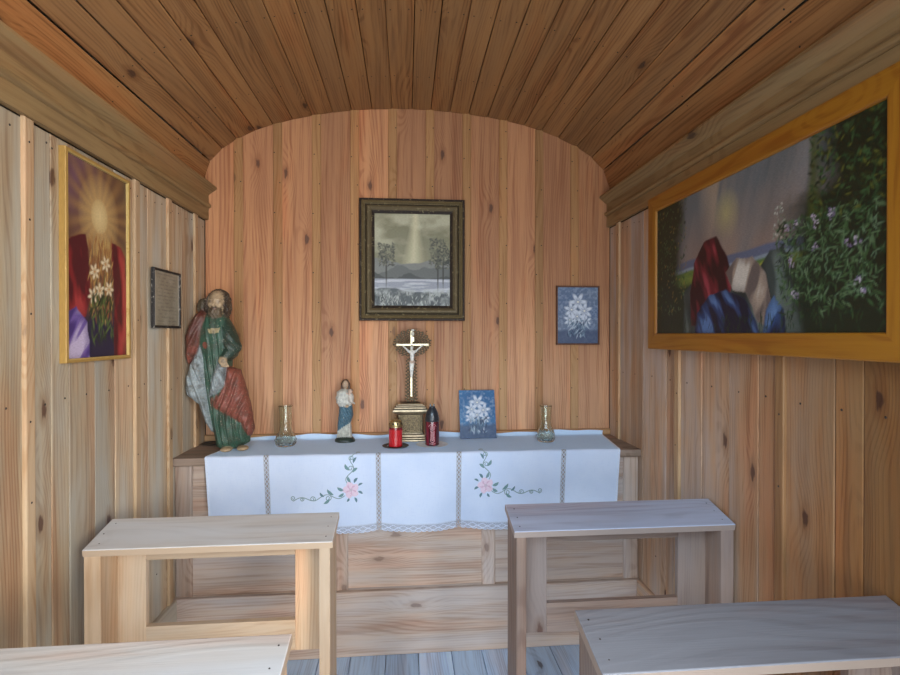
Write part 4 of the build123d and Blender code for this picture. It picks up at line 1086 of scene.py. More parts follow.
def wave(value, period):
    return (value * (2 * math.pi / period)).maths("SINE")


def thread(value, width):
    """One where a value is within a thread's half width of nought."""
    return value.maths("ABSOLUTE").step(width * 1.25, width * 0.75)


def most(*values):
    return reduce(lambda total, value: total.maths("MAXIMUM", value), values)


hole_share, strip_share = None, None
for seam in openwork:
    off = flat_x - float(seam)
    braid = wave(flat_y, 0.044) * 0.0072
    strip = off.maths("ABSOLUTE").step(0.0128, 0.0122) * flat_y.step(-0.014, -0.012)
    threads = most(thread(off - braid, 0.0025), thread(off + braid, 0.0025),
        thread(off.maths("ABSOLUTE") - 0.0108, 0.0013), thread(wave(flat_y, 0.011), 0.2))
    hole = strip * (1 - threads)
    hole_share = hole if hole_share is None else hole_share + hole
    strip_share = strip if strip_share is None else strip_share + strip
edge = linen.stored("from_hem", "Fac")
net = most(thread(wave(flat_x + flat_y, 0.0125), 0.3), thread(wave(flat_x - flat_y, 0.0125), 0.3))
zigzag = most(thread(edge - 0.013 - (wave(flat_x, 0.05) * 0.5).maths("ARCSINE") * 0.01, 0.0022),
    thread(edge - 0.024 + (wave(flat_x, 0.05) * 0.5).maths("ARCSINE") * 0.01, 0.0018),
    thread(edge - 0.0365, 0.0018))
scallop = edge - 0.0065 - wave(flat_x, 0.056).maths("ABSOLUTE") * -0.006
border = edge.step(0.0395, 0.0385)
cord = thread(scallop, 0.0019)
lace_threads = most(net, zigzag, cord)
outside = scallop.step(-0.0012, -0.002)
lace_hole = border * (1 - lace_threads)
alpha = (1 - hole_share * 0.85) * (1 - lace_hole * 0.55) * (1 - outside)
weave = wave(flat_x, 0.0016) * wave(flat_y, 0.0016)
slub, slub_down = (linen.noise(linen.stored("flat"), scale) for scale in ((30, 260, 1), (260, 22, 1)))
# The linen is painted bluish, and bluer still across its top up to the turn-up at the wall: painted skylight.
colour = linen.mix(linen.noise(linen.place(), 5.0, 3.0).step(0.3, 0.7), (0.6, 0.69, 0.87), (0.66, 0.74, 0.9))
colour = linen.mix(flat_y.step(-0.012, -0.002) + flat_y.step(-0.38, -0.39), (0.64, 0.8, 1.0), colour)
colour = linen.mix((slub + slub_down - 1.0).step(0.0, 0.35, 0.0, 0.35), colour, (0.52, 0.62, 0.83))
colour = linen.mix(strip_share * 0.45, colour, (0.42, 0.4, 0.38))
colour = linen.mix(border * 0.3, colour, (0.52, 0.56, 0.64))
linen.relief(weave * 0.3 + (slub + slub_down) * 0.8 + cord * 0.6, 0.0007)
linen = linen.finish(Base_Color=colour, Roughness=slub * 0.2 + 0.72, Alpha=alpha)
flat = np.stack([across, down, 0 * across], -1).reshape(-1, 3)
altar_linen = piece("altar_linen", cloth_at(across, down), grid_faces(rows, columns)[:, ::-1], linen, "altar_linen",
    smooth=True, replaces=["altar_cloth"], flat=flat, from_hem=(hem_length(across) - down).ravel())


class Stitches(Gather):
    """Satin stitch: flat leaves, petals and stems that follow the cloth."""

    def ribbon(self, path, width, colour, proud=0.0006):
        self.bead(path, cloth_at, width, proud, -0.0005, paint=(*colour, 1.0))

    def leaf(self, start, end, width, colour, bow=0.15):
        """A pointed leaf: a bowed line from start to end, as wide as a sine along it."""
        start, end = np.asarray(start, float), np.asarray(end, float)
        t = np.linspace(0, 1, 9)[:, None]
        run = end - start
        path = start + t * run + bow * np.sin(math.pi * t) * np.array([-run[1], run[0]])
        self.ribbon(path, width * np.sin(math.pi * np.clip(t[:, 0], 0.02, 0.98)) ** 0.8, colour, 0.0012)

    def curl(self, start, turn, size, twist, colour):
        """A tendril: a spiral whose radius shrinks along it, leaving start in the direction of turn."""
        t = np.linspace(0, 1, 26)
        angle = turn + twist * 1.4 * 2 * math.pi * t
        step = size * (1 - 0.78 * t)
        path = np.cumsum(np.stack([np.cos(angle), np.sin(angle)], 1) * step[:, None], 0)
        self.ribbon(np.asarray(start) + path - path[0], 0.004, colour)


silk = Finish("satin_stitch", Sheen_Weight=0.3)
fine = silk.noise(silk.place(), 900.0)
silk.relief(fine, 0.0006)
silk = silk.finish(Base_Color=silk.scaled(silk.stored("paint", "Color"), fine.step(0.25, 0.75, 0.75, 1.2)),
    Roughness=fine * 0.2 + 0.45)
petal_pink, petal_deep, heart = (0.74, 0.58, 0.7), (0.64, 0.42, 0.56), (0.56, 0.44, 0.54)
leaf_green, stem_green, leaf_dark = (0.14, 0.26, 0.28), (0.22, 0.32, 0.34), (0.1, 0.2, 0.25)


def rose_spray(rose, side):
    """A rose in the corner of two sprays: one level, away from the middle, and one up over the edge."""
    work = Stitches()
    rose = np.asarray(rose, float)
    out = np.array([side, 1.0])
    for n in range(5):
        angle = 2 * math.pi * n / 5 + 0.5
        tip = np.array([math.cos(angle), math.sin(angle)])
        for k, (reach, wide, shade) in enumerate(((0.041, 0.036, petal_pink), (0.032, 0.018, petal_deep),
                (0.026, 0.012, petal_pink))):
            work.leaf(rose + tip * 0.006, rose + tip * reach, wide, shade, 0.1 * (-1) ** k)
    for n in range(4):
        angle = 2 * math.pi * n / 4 + 0.2
        tip = np.array([math.cos(angle), math.sin(angle)])
        work.leaf(rose - tip * 0.006, rose + tip * 0.01, 0.009, heart, 0.3)
    t = np.linspace(0, 1, 60)[:, None]
    level = rose + out * np.concatenate([0.03 + 0.25 * t, 0.026 + 0.013 * np.sin(t * 13) * (1 - 0.3 * t)
        + 0.016 * t], 1)
    upward = rose + out * np.concatenate([0.016 - 0.044 * t + 0.013 * np.sin(t * 12), -0.03 - 0.185 * t], 1)
    work.ribbon(level, 0.0042, stem_green)
    work.ribbon(upward, 0.0042, stem_green)
    for stem, curls in ((level, ((0.3, 2.6, 5.5, -1), (0.58, -2.2, 4.8, 1), (0.99, 0.3, 4.2, -1),
            (0.8, 2.4, 3.6, -1))), (upward, ((0.35, -2.6, 5.2, 1), (0.62, -0.4, 4.6, -1), (0.97, -1.4, 3.8, 1)))):
        for share, turn, size, twist in curls:
            work.curl(stem[int(share * 59)], turn if side > 0 else math.pi - turn, size / 1000, twist * side,
                stem_green)
    for a, b, c, d, wide in ((34, 0, 66, -14, 15), (36, 14, 62, 30, 14), (0, -36, 14, -66, 14),
            (-16, -34, -34, -58, 13), (-34, 8, -56, 20, 12), (-16, 36, -26, 60, 12), (10, 38, 22, 56, 11),
            (85, 22, 115, -6, 15), (105, 40, 134, 62, 14), (130, 30, 150, 8, 11), (-10, -85, -34, -106, 14),
            (6, -96, 26, -126, 15), (-14, -130, -30, -158, 12), (-36, -20, -58, -32, 10)):
        start, end = rose + out * mm(a, b, c, d)
        work.leaf(start, end, wide / 1000, leaf_green if wide > 13 else leaf_dark, 0.12 * side)
    return work


rose_spray((-0.318, 0.172), -1).make("left_rose_spray", silk, "altar_linen", smooth=True)
rose_spray((0.35, 0.166), 1).make("right_rose_spray", silk, "altar_linen", smooth=True)

# A plain drawn hem down both sides
hems = Stitches()
for line in (cloth_left + 0.006, cloth_right - 0.006):
    run = np.linspace(cloth_run[0] + 0.004, 0.34, 120)
    # The hems are painted in the linen's skylight blue.
    hems.ribbon(np.column_stack([np.full(120, line), run]), 0.011, (0.66, 0.74, 0.9), 0.0003)
hems.make("side_hems", silk, "altar_linen", smooth=True)


# Turned and moulded vessels
def smooth_line(points, count):
    """Points along a smooth curve through the given ones: a Catmull-Rom spline evened out by length."""
    p = np.asarray(points, float)
    p = np.concatenate([[2 * p[0] - p[1]], p, [2 * p[-1] - p[-2]]])
    t = np.linspace(0, 1, 24, endpoint=False)[:, None]
    runs = []
    for a, b, c, d in zip(p[:-3], p[1:-2], p[2:-1], p[3:]):
        runs.append(b + 0.5 * (c - a) * t + (a - 2.5 * b + 2 * c - 0.5 * d) * t ** 2
            + (1.5 * b - 0.5 * a - 1.5 * c + 0.5 * d) * t ** 3)
    line = np.concatenate(runs + [p[-2:-1]])
    far = np.concatenate([[0], np.cumsum(np.linalg.norm(np.diff(line, axis=0), axis=1))])
    even = np.linspace(0, far[-1], count)
    return np.column_stack([np.interp(even, far, line[:, i]) for i in range(line.shape[1])])


def vessel_line(count, curve, first, last=()):
    """A vessel's line: its first point, a smooth curve and its last points, each a run of millimetres."""
    return np.concatenate([mm(*first), smooth_line(mm(*curve), count), mm(*last)])


def arc(angle, wide, tall, height):
    """Part of an ellipse over a point on the height axis."""
    return np.column_stack([wide * np.cos(angle), height + tall * np.sin(angle)])


def turned(name, middle, line, finish, slot, replaces=(), sides=64, shape=None):
    """A vessel turned about a standing axis from (radius, height) points, closed at both ends. Shape changes
    the radius by angle and height. Stores how far round and how high each point is."""
    line = np.asarray(line, float)
    angle = np.arange(sides) * 2 * math.pi / sides
    radius = line[:, :1] * np.ones(sides)
    height = line[:, 1:] * np.ones(sides)
    if shape is not None:
        radius = radius * shape(angle[None, :], height)
    points = np.stack([middle[0] + radius * np.cos(angle), middle[1] + radius * np.sin(angle), middle[2] + height],
        -1)
    around = np.broadcast_to(angle, radius.shape)
    piece(name, points, capped(len(line), sides), finish, slot, smooth=True, replaces=replaces,
        about=np.stack([np.cos(around), np.sin(around), height], -1).reshape(-1, 3))


glass = mottled("pressed_glass", (0.86, 0.96, 0.9), (0.94, 0.99, 0.96), 120.0, 0.0, 1.0, 0.02, 0.0, 0.0002,
    Transmission_Weight=1.0, IOR=1.46)


def pressed(bulb_top):
    """Pressed diamonds on the bulb: two crossing spirals of flutes that fade out on the neck."""
    def shape(angle, height):
        fade = np.clip((bulb_top - height) / 0.02, 0, 1) * np.clip((height - 0.006) / 0.01, 0, 1)
        a = np.abs(np.sin(angle * 6 + height * 95)) + np.abs(np.sin(angle * 6 - height * 95))
        neck = 0.02 * np.abs(np.cos(angle * 6)) * (1 - fade) * (height > bulb_top)
        return 1 + fade * 0.055 * (a - 1.25) + neck - 0.03
    return shape


for name, x, y, height, bulb, neck, shoulder in (("left_vase", -0.675, 1.165, 0.21, 0.055, 0.032, 0.08),
        ("right_vase", 0.71, 1.153, 0.195, 0.05, 0.03, 0.088)):
    wall = 0.003
    upper = [(bulb, shoulder * 0.42), (neck * 1.25, shoulder * 0.85), (neck, shoulder * 1.15),
        (neck, height * 0.72), (neck + 0.001, height * 0.86), (neck + 0.004, height)]
    outer = smooth_line([(bulb * 0.72, 0.0), (bulb * 0.9, 0.006), *upper], 90)
    inner = smooth_line([*np.subtract(upper[::-1], (wall, 0)), (bulb * 0.72 - wall, 0.011), (0.002, 0.01)], 60)
    turned(name + "_glass", (x, y, cloth_z + 0.0016), np.concatenate([mm(2, 0), outer, inner]), glass, "vase_glass",
        [name], 96, pressed(shoulder))

# Dishes
glazed = mottled("glazed_white", (0.82, 0.9, 0.97), (0.62, 0.68, 0.74), 40.0, 0.5, 0.8, 0.25, Coat_Weight=0.5)
dark_dish = mottled("dark_enamel", (0.012, 0.015, 0.018), (0.05, 0.055, 0.06), (60, 400, 60), 0.2, 0.8)


def dish(name, place, rim, finish):
    """A shallow dish: foot, well, flared rim with a rolled lip. The rim's radius is in millimetres."""
    turned(name, place, vessel_line(40, (rim * 0.66, 0, rim * 0.72, 1.6, rim * 0.96, 5.2, rim, 6.2, rim - 1.4, 6.8,
        rim * 0.9, 5.2, rim * 0.7, 2.4, rim * 0.5, 2), (1, 0), (1, 2)), finish, "dish_metal", ["altar_dishes"])


candle_at, lantern_at = (-0.102, 1.1), (0.089, 1.114)
dish("candle_dish", (*candle_at, cloth_z + 0.001), 69, dark_dish)
dish("lantern_dish", (*lantern_at, cloth_z + 0.001), 84, glazed)
dish("empty_dish", (-1.085, 1.268, altar_z), 50, dark_dish)

# Red grave light: wax in a clear red cup under a pierced gilt lid
# The cup's colour also feeds a faint emission: a painted glow, though no flame burns in it.
cup = Finish("red_cup_painted_glow", Coat_Weight=1.0, Coat_Roughness=0.06, Subsurface_Weight=0.25, Subsurface_Scale=0.02,
    Emission_Strength=0.04)
sway, _, high = cup.parts(cup.stored("about"))
fleck = cup.noise(cup.place(), 60.0, 3.0)
level = (high + (sway * 3).maths("SINE") * 0.002).step(0.086, 0.092)
rib = wave(high, 0.0035)
colour = cup.mix(level, (0.5, 0.01, 0.016), (0.15, 0.01, 0.012))
colour = cup.mix(fleck.step(0.45, 0.75, 0.0, 0.4), colour, (0.6, 0.02, 0.025))
cup.relief(rib * 0.2 + fleck * 0.3, 0.0004)
cup = cup.finish(Base_Color=colour, Emission_Color=colour, Roughness=fleck * 0.2 + 0.12)
lantern_base = cloth_z + 0.0032
turned("candle_cup", (*candle_at, lantern_base), vessel_line(60, (31.2, 0, 34.7, 2, 35.7, 8, 35.7, 60, 35.7, 100,
    34.5, 103.5, 31, 104), (1, 0), (1, 104)), cup, "candle_red", ["red_candle"])
lid = Finish("gilt_lid", Metallic=1.0)
first, second, high = lid.parts(lid.stored("about"))
gap = ((first.maths("ARCTAN2", second) * (8 / (2 * math.pi))).maths("FRACT") - 0.5) * 0.0235
hole = (gap * gap + (high - 0.0185) * (high - 0.0185)).maths("SQRT")
dull = lid.noise(lid.place(), 90.0, 4.0)
# The holes are not cut: each is painted near black and not metallic, a painted shade inside it.
painted_hole_shade = hole.step(0.005, 0.0044)
lid.relief(dull * 0.3 + hole.step(0.0048, 0.0085), 0.0008)
lid = lid.finish(Base_Color=lid.mix(painted_hole_shade, lid.mix(dull.step(0.35, 0.7), (0.62, 0.52, 0.28),
    (0.36, 0.27, 0.13)), (0.004, 0.003, 0.002)), Metallic=1 - painted_hole_shade,
    Roughness=dull * 0.35 + 0.2 + painted_hole_shade * 0.5)
turned("candle_lid", (*candle_at, cloth_z + 0.1045), vessel_line(50, (36.2, 0, 36.6, 4, 35.2, 7.5, 33, 10, 32.2, 16,
    31.2, 24, 27.5, 31.5, 19, 35.8, 2, 37.2), (28, 0)), lid, "gilt_metal", ["red_candle"])

# Tall grave light: dark red glass with raised ornament under a black cap with two prongs
ruby = Finish("dark_ruby", Coat_Weight=1.0, Coat_Roughness=0.05)
depth = ruby.noise(ruby.place(), 30.0, 3.0)
bands = wave(ruby.parts(ruby.stored("about"))[0], 0.9).step(-0.2, 1.0)
ruby.relief(depth, 0.0004)
ruby = ruby.finish(Base_Color=ruby.mix(bands * 0.6 + depth * 0.3, (0.045, 0.004, 0.01), (0.21, 0.012, 0.03)),
    Roughness=depth * 0.15 + 0.08)
turned("lantern_body", (*lantern_at, lantern_base), vessel_line(80, (32.5, 0, 36.2, 2, 37.5, 9, 35.2, 13, 37.5, 18,
    37.5, 60, 37.5, 120, 35.5, 126, 35, 126.5), (1, 0), (1, 126.5)), ruby, "lantern_red", ["red_lantern"])


def ribbed(angle, height):
    """Sixteen low ribs round the foot of the cap."""
    return 1 + 0.02 * np.cos(angle * 8) ** 8 * (height < 0.02)


black = mottled("black_cap", (0.008, 0.013, 0.02), (0.022, 0.03, 0.042), 70.0, 0.2, 0.8, 0.2, 0.2, Coat_Weight=0.6,
    Coat_Roughness=0.1)
turned("lantern_cap", (*lantern_at, lantern_base + 0.1265), vessel_line(60,
    (37.2, 0, 37.6, 10, 36.2, 18, 34.8, 26, 30.5, 43, 23.2, 60, 16.5, 70.5, 15, 76.5), (30, 0),
    (14, 77.2, 1, 77.2)), black, "lantern_red", ["red_lantern"], 72, ribbed)
prongs = Boards()
for side in (-1, 1):
    x, y = lantern_at[0] + side * 0.009, lantern_at[1]
    prongs.bar((x - 0.004, y - 0.007, lantern_base + 0.2), (x + 0.004, y + 0.007, lantern_base + 0.2155), "-y", "z",
        0.0015)
prongs.make("lantern_prongs", black, "lantern_red")

whole_turn = np.linspace(0, 2 * math.pi, 40)
ornament = [arc(whole_turn, 0.0115, 0.0115, 0.096), arc(whole_turn, 0.0048, 0.0048, 0.096),
    arc(np.linspace(0, math.pi, 24), 0.0195, 0.0155, 0.1), smooth_line(mm(-8.5, 83, -8.5, 50, -9, 26, 0, 20.5, 9,
    26, 8.5, 50, 8.5, 83), 60), smooth_line(mm(-3, 78, -3, 34, 0, 31, 3, 34, 3, 78), 40),
    np.linspace((-0.016, 0.0125), (0.016, 0.0125), 20)]
rose_glass = mottled("worn_rose", (0.78, 0.44, 0.46), (0.42, 0.12, 0.15), 200.0, rough=0.25, Coat_Weight=0.4)


def on_lantern(around, up, rise):
    """Wrapped on the tall light: distance round from its front, height and rise."""
    far, angle = 0.0375 + rise, around / 0.0375 - math.pi / 2
    return np.stack([lantern_at[0] + far * np.cos(angle), lantern_at[1] + far * np.sin(angle), lantern_base + up],
        -1)


beads = Gather()
for path in ornament:
    beads.bead(path, on_lantern, 0.0036, 0.0012)
beads.make("lantern_ornament", rose_glass, "lantern_red", smooth=True)

# Pedestal of the crucifix: mouldings carried round a canted box, with cast scrolls on its face
pedestal_metal = Finish("aged_silver_gilt", Metallic=0.75)
tarnish = pedestal_metal.noise(pedestal_metal.place(), 70.0, 5.0, 0.65)
pedestal_metal.relief(tarnish, 0.0008)
# The coves of the mouldings are painted near black together with noise tarnish: painted shade mixed with real
# tarnish.
cove_shade_and_tarnish = pedestal_metal.stored("hollow", "Fac") + (tarnish - 0.5) * 1.6
pedestal_metal = pedestal_metal.finish(Base_Color=pedestal_metal.mix(cove_shade_and_tarnish.step(-0.6, 0.5), (0.6, 0.49, 0.33),
    (0.065, 0.05, 0.032)), Roughness=tarnish * 0.35 + 0.25)
dull_gilt = mottled("dull_gilt_ground", (0.24, 0.185, 0.105), (0.09, 0.07, 0.042), 120.0, rough=0.4, depth=0.0012,
    Metallic=0.6)
worn_gilt = mottled("worn_gilt", (0.5, 0.4, 0.24), (0.17, 0.135, 0.08), 260.0, depth=0.0006, Metallic=0.7)
foot = (-0.024, 1.255, cloth_z + 0.0016)


def canted_sweep(name, cant, finish, *profile):
    """A moulding carried round the pedestal's box with cut corners: each ring has the profile's half width,
    0.6 of it in depth, and its corners cut by a share of it; capped at both ends. Millimetres."""
    half, height = np.split(mm(*profile), 2, 1)
    deep = half * 0.6
    cut = cant * half
    x = np.concatenate([half, half, half - cut, cut - half, -half, -half, cut - half, half - cut], 1)
    y = np.concatenate([cut - deep, deep - cut, deep, deep, deep - cut, cut - deep, -deep, -deep], 1)
    points = np.stack([foot[0] + x, foot[1] + y, foot[2] + height + 0 * x], -1)
    around = (np.concatenate([half[1:], half[-1:]]) + np.concatenate([half[:1], half[:-1]])) / 2
    # Hollow marks the coves, which the finish paints dark: painted shade.
    hollow = np.clip((around - half) / 0.0016, -1, 1) * np.ones((1, 8))
    piece(name, points, capped(len(half), 8), finish, "pedestal_gilt", replaces=["crucifix_pedestal"],
        hollow=hollow.ravel())


canted_sweep("pedestal_foot", 0.05, pedestal_metal, 86, 0, 87, 4, 86, 9, 83, 11, 83, 14, 84.5, 16, 84.5, 20, 80, 24,
    78, 26, 80, 28, 80, 34, 77, 37, 72.5, 40, 71.5, 44, 70, 46)
canted_sweep("pedestal_body", 0.07, dull_gilt, 69, 45, 69, 148)
canted_sweep("pedestal_cap", 0.05, pedestal_metal, 69, 144, 72, 146, 74, 149, 82, 153, 88, 158, 96, 161, 97.5, 163,
    98.5, 166, 98.5, 170, 97, 173, 91, 174.5, 89, 179, 89.5, 184, 87, 187, 83, 188, 81, 191, 81.5, 195, 78, 197.5,
    72, 198.5, 70, 202, 60, 205, 48, 208, 44, 209.5)
scrolls = Gather()
front_y = foot[1] - 0.069 * 0.6


def face_bead(path, width, proud=0.003):
    """A rounded bead on the body's front face along a path of (across, up)."""
    scrolls.bead(path, lambda a, b, rise: np.stack([foot[0] + a, front_y - rise, foot[2] + b], -1), width, proud)


for side in (-1, 1):
    for count, width, curve in ((60, 0.0042, (46, 56, 30, 66, 16, 82, 6, 99, 17, 112, 30, 104, 26, 92, 19, 98)),
            (50, 0.0036, (4, 60, 18, 62, 34, 86, 44, 110, 38, 126, 28, 120)),
            (24, 0.0036, (10, 128, 24, 133, 46, 130))):
        face_bead((side, 1) * smooth_line(mm(*curve), count), width)
face_bead(smooth_line(mm(0, 56, 0, 82, 0, 104), 20), 0.005)
face_bead(arc(whole_turn, 0.008, 0.008, 0.116), 0.0036)
for ends in ((-50, 50, 50, 50), (-50, 140, 50, 140), (-50, 50, -50, 140), (50, 50, 50, 140)):
    face_bead(np.linspace(*mm(*ends), 12), 0.004, 0.0022)
scrolls.make("pedestal_scrolls", worn_gilt, "gilt_metal", smooth=True)


# Pictures: moulded frames round painted panels, every subject of the builder's own
def paint_of(*shade):
    """A paint's linear colour from its 0 to 255 values."""
    return (np.array(shade) / 255) ** 2.2


class Painting:
    """A panel painted on a grid of points: u metres across and v metres up from its lower left corner."""

    def __init__(self, width, height, step, ground):
        self.u, self.v = np.meshgrid(np.linspace(0, width, round(width / step) + 1),
            np.linspace(0, height, round(height / step) + 1))
        self.colour = np.ones(self.u.shape + (3,)) * paint_of(*ground)

    def cloud(self, size, tall=1.0, lean=0.0, octaves=4):
        """Smooth noise from 0 to 1: random numbers on a lattice, blended, in octaves of half the size."""
        total, weight = 0.0, 0.0
        for octave in range(octaves):
            a = (self.u + lean * self.v) / size * 2 ** octave + 50
            b = self.v / (size * tall) * 2 ** octave + 50
            table = chance.random((64, 64))
            i, j = np.floor(a).astype(int), np.floor(b).astype(int)
            s, t = a - i, b - j
            s, t = s * s * (3 - 2 * s), t * t * (3 - 2 * t)
            near = [table[(j + m) % 64, (i + n) % 64] for m in (0, 1) for n in (0, 1)]
            total += ((near[0] * (1 - s) + near[1] * s) * (1 - t) + (near[2] * (1 - s) + near[3] * s)
                * t) / 2 ** octave
            weight += 1 / 2 ** octave
        return total / weight

    def wash(self, share, *shade):
        self.colour += (paint_of(*shade) - self.colour) * np.clip(share, 0, 1)[..., None]

    def dab(self, u, v, length, width, turn, shade, strength=1.0):
        """One brush stroke: a soft ellipse."""
        c, s = math.cos(turn), math.sin(turn)
        reach, step = max(length, width), self.u[0, 1]
        window = tuple(slice(max(0, int((m - reach) / step)), max(0, int((m + reach) / step) + 2)) for m in (v, u))
        a, b = self.u[window] - u, self.v[window] - v
        share = np.clip(1.6 - 1.6 * np.hypot((a * c + b * s) / length, (b * c - a * s) / width), 0, 1) * strength
        self.colour[window] += (paint_of(*shade) - self.colour[window]) * share[..., None]

    def scatter(self, count, u, v, length, width, turn, spread, shades):
        """Many strokes with random places in a range, turns and shades."""
        for _ in range(count):
            self.dab(chance.uniform(*u), chance.uniform(*v), length * chance.uniform(0.6, 1.2),
                width * chance.uniform(0.7, 1.2), turn + chance.uniform(-spread, spread),
                shades[chance.integers(len(shades))], 0.85)

    def flower(self, u, v, size, petals, pale, deep, heart):
        """Petals round a heart, each a pale stroke with a deeper one at its root."""
        for n in range(petals):
            turn = 2 * math.pi * n / petals + u * 9
            out = np.array([math.cos(turn), math.sin(turn)])
            self.dab(u + out[0] * size * 0.55, v + out[1] * size * 0.55, size * 0.55, size * 0.26, turn, pale)
            self.dab(u + out[0] * size * 0.3, v + out[1] * size * 0.3, size * 0.3, size * 0.07, turn, deep, 0.7)
        self.dab(u, v, size * 0.16, size * 0.14, 0, heart)

    def drapery(self, outline, size, lean, base, dark, light):
        """A cloth inside an outline whose edge wavers. Its folds are noise drawn out along its fall, dark in
        the valleys and light on the ridges, and it darkens towards its edge."""
        inside = depth_inside(self.u, self.v, outline) + 0.014 * (self.cloud(0.05) - 0.5)
        share = above(inside, 0, 0.005)
        ridge = self.cloud(size, 3.5, lean, 3)
        self.wash(share, *base)
        self.wash(share * above(0.45 - ridge, 0, 0.12), *dark)
        self.wash(share * above(ridge, 0.6, 0.1) * 0.85, *light)
        self.wash(share * np.clip(1 - inside / 0.03, 0, 1) * 0.5, *dark)


def above(value, level, soft):
    return np.clip((value - level) / soft + 0.5, 0, 1)


class Wall:
    """Where pictures hang: a point on the wall's face, the way across, up and out of it."""

    def __init__(self, origin, across, up):
        self.origin, self.across, self.up = (np.asarray(v, float) for v in (origin, across, up))
        self.out = np.cross(self.across, self.up)

    def at(self, a, b, c):
        return (self.origin + np.asarray(a)[..., None] * self.across + np.asarray(b)[..., None] * self.up
            + np.asarray(c)[..., None] * self.out)


def canvas(name, wall, painting, depth, finish, slot, node):
    """The painted panel, its lower left corner at the wall's origin, with its colours on its points."""
    inset_by = (0.5 * painting.u.max(), 0.5 * painting.v.max())
    points = wall.at(painting.u - inset_by[0], painting.v - inset_by[1], 0 * painting.u + depth)
    flat = np.stack([painting.u, painting.v, 0 * painting.u], -1).reshape(-1, 3)
    colour = np.concatenate([painting.colour.reshape(-1, 3), np.ones((painting.u.size, 1))], 1)
    return piece(name, points, grid_faces(*painting.u.shape), finish, slot, replaces=[node], paint=colour,
        flat=flat)


def moulded_frame(name, wall, size, section, finish, slot, node, pitch=0.02, bead=None):
    """A frame: a section of (in from the edge, out from the wall) carried along four mitred sides. A bead
    (first row, last row, depth, pitch) carves its rows with a sine along the side."""
    section = np.asarray(section, float)
    points, faces, grain, across, tone, count = [], [], [], [], [], 0
    for k in range(4):
        half, other = (size[0] / 2, size[1] / 2) if k % 2 == 0 else (size[1] / 2, size[0] / 2)
        columns = max(2, int(2 * half / pitch))
        s = np.linspace(-1, 1, columns)[None, :]
        inward, proud = section[:, :1] + 0 * s, section[:, 1:] + 0 * s
        along = s * (half - inward)
        if bead:
            rows = slice(bead[0], bead[1])
            proud[rows] += bead[2] * np.abs(np.sin(along[rows] * math.pi / bead[3]))
        down = -(other - inward)
        c, d = ((1, 0), (0, 1), (-1, 0), (0, -1))[k]
        points.append(wall.at(along * c - down * d, along * d + down * c, proud).reshape(-1, 3))
        faces.append(grid_faces(len(section), columns) + count)
        grain.append(np.stack([along, inward, proud], -1).reshape(-1, 3) + chance.uniform(-30, 30, 3))
        across.append(inward.ravel())
        tone.append(np.full(inward.size, chance.uniform()))
        count += inward.size
    return piece(name, np.concatenate(points), np.concatenate(faces), finish, slot, replaces=[node],
        grain=np.concatenate(grain), across=np.concatenate(across), tone=np.concatenate(tone))


def picture_surface(name, rough, sheen, relief, scale=420.0):
    """Paint or print: stored colours with canvas threads, fine brush hairs and uneven varnish."""
    f = Finish(name, Coat_Weight=sheen, Coat_Roughness=0.25)
    threads, hairs = f.noise(f.stored("flat"), scale, 1.0), f.noise(f.stored("flat"), (90, 420, 1), 3.0)
    f.relief(threads * 0.6 + hairs * 0.4, relief)
    return f.finish(Base_Color=f.scaled(f.stored("paint", "Color"), hairs.step(0.3, 0.7, 0.86, 1.12)),
        Roughness=hairs * 0.25 + rough)


def banded(name, stops, wear_colour, metal, rough=0.45, wide=0.1):
    """A frame's bands of colour from its outer edge inwards, worn through to another colour."""
    f = Finish(name, Metallic=metal)
    bands = f.node("ValToRGB", {"stops": stops}, {0: f.stored("across", "Fac") * (1 / wide)})
    fine, worn = f.noise(f.stored("grain"), (40, 260, 260), 4.0), f.noise(f.stored("grain"), 55.0, 5.0, 0.65)
    f.relief(fine * 0.5 + worn * 0.5, 0.0008)
    return f.finish(Base_Color=f.mix(worn.step(0.56, 0.7, 0.0, 0.7), f.mix(fine * 0.45, bands, (0.02, 0.014, 0.01)),
        wear_colour), Roughness=fine * 0.25 + rough)


oil = picture_surface("oil_on_canvas", 0.42, 0.15, 0.0004)
print_paper = picture_surface("old_print", 0.5, 0.3, 0.0002, 900.0)

# Centre: an engraving of a lake between hills, in a dark frame with gilt lines
wall = Wall((-0.0115, 1.341, 2.149), (1, 0, 0), (0, 0, 1))
p = Painting(0.423, 0.516, 0.003, (134, 130, 102))
p.wash(above(p.v + 0.05 * p.cloud(0.2), 0.36, 0.5), 112, 108, 78)
p.wash(above(p.cloud(0.16, 0.5), 0.55, 0.3) * above(p.v, 0.2, 0.1), 172, 168, 140)
light = np.clip(1 - np.abs(p.u - 0.23 - 0.05 * (p.v - 0.5)) / (0.02 + 0.18 * (0.52 - p.v)), 0, 1)
p.wash(light * above(p.v, 0.2, 0.1) * 0.75, 206, 198, 160)
for height, size, shade in ((0.245, 0.2, (118, 118, 112)), (0.205, 0.14, (92, 94, 90)), (0.165, 0.1, (66, 68, 64))):
    ridge = height + 0.09 * (p.cloud(size, 40)[0] - 0.5)
    p.wash(above(ridge[None, :] - p.v, 0, 0.006), *shade)
p.wash(above(0.15 - p.v, 0, 0.004), 142, 146, 156)
p.wash(above(p.cloud(0.12, 0.06), 0.52, 0.15) * above(0.148 - p.v, 0, 0.01) * 0.8, 196, 198, 204)
p.wash(above(0.06 + 0.05 * p.cloud(0.1, 40)[0] - p.v, 0, 0.01), 74, 80, 82)
p.wash(above(p.cloud(0.04), 0.6, 0.2) * above(0.09 - p.v, 0, 0.03) * 0.8, 168, 172, 168)
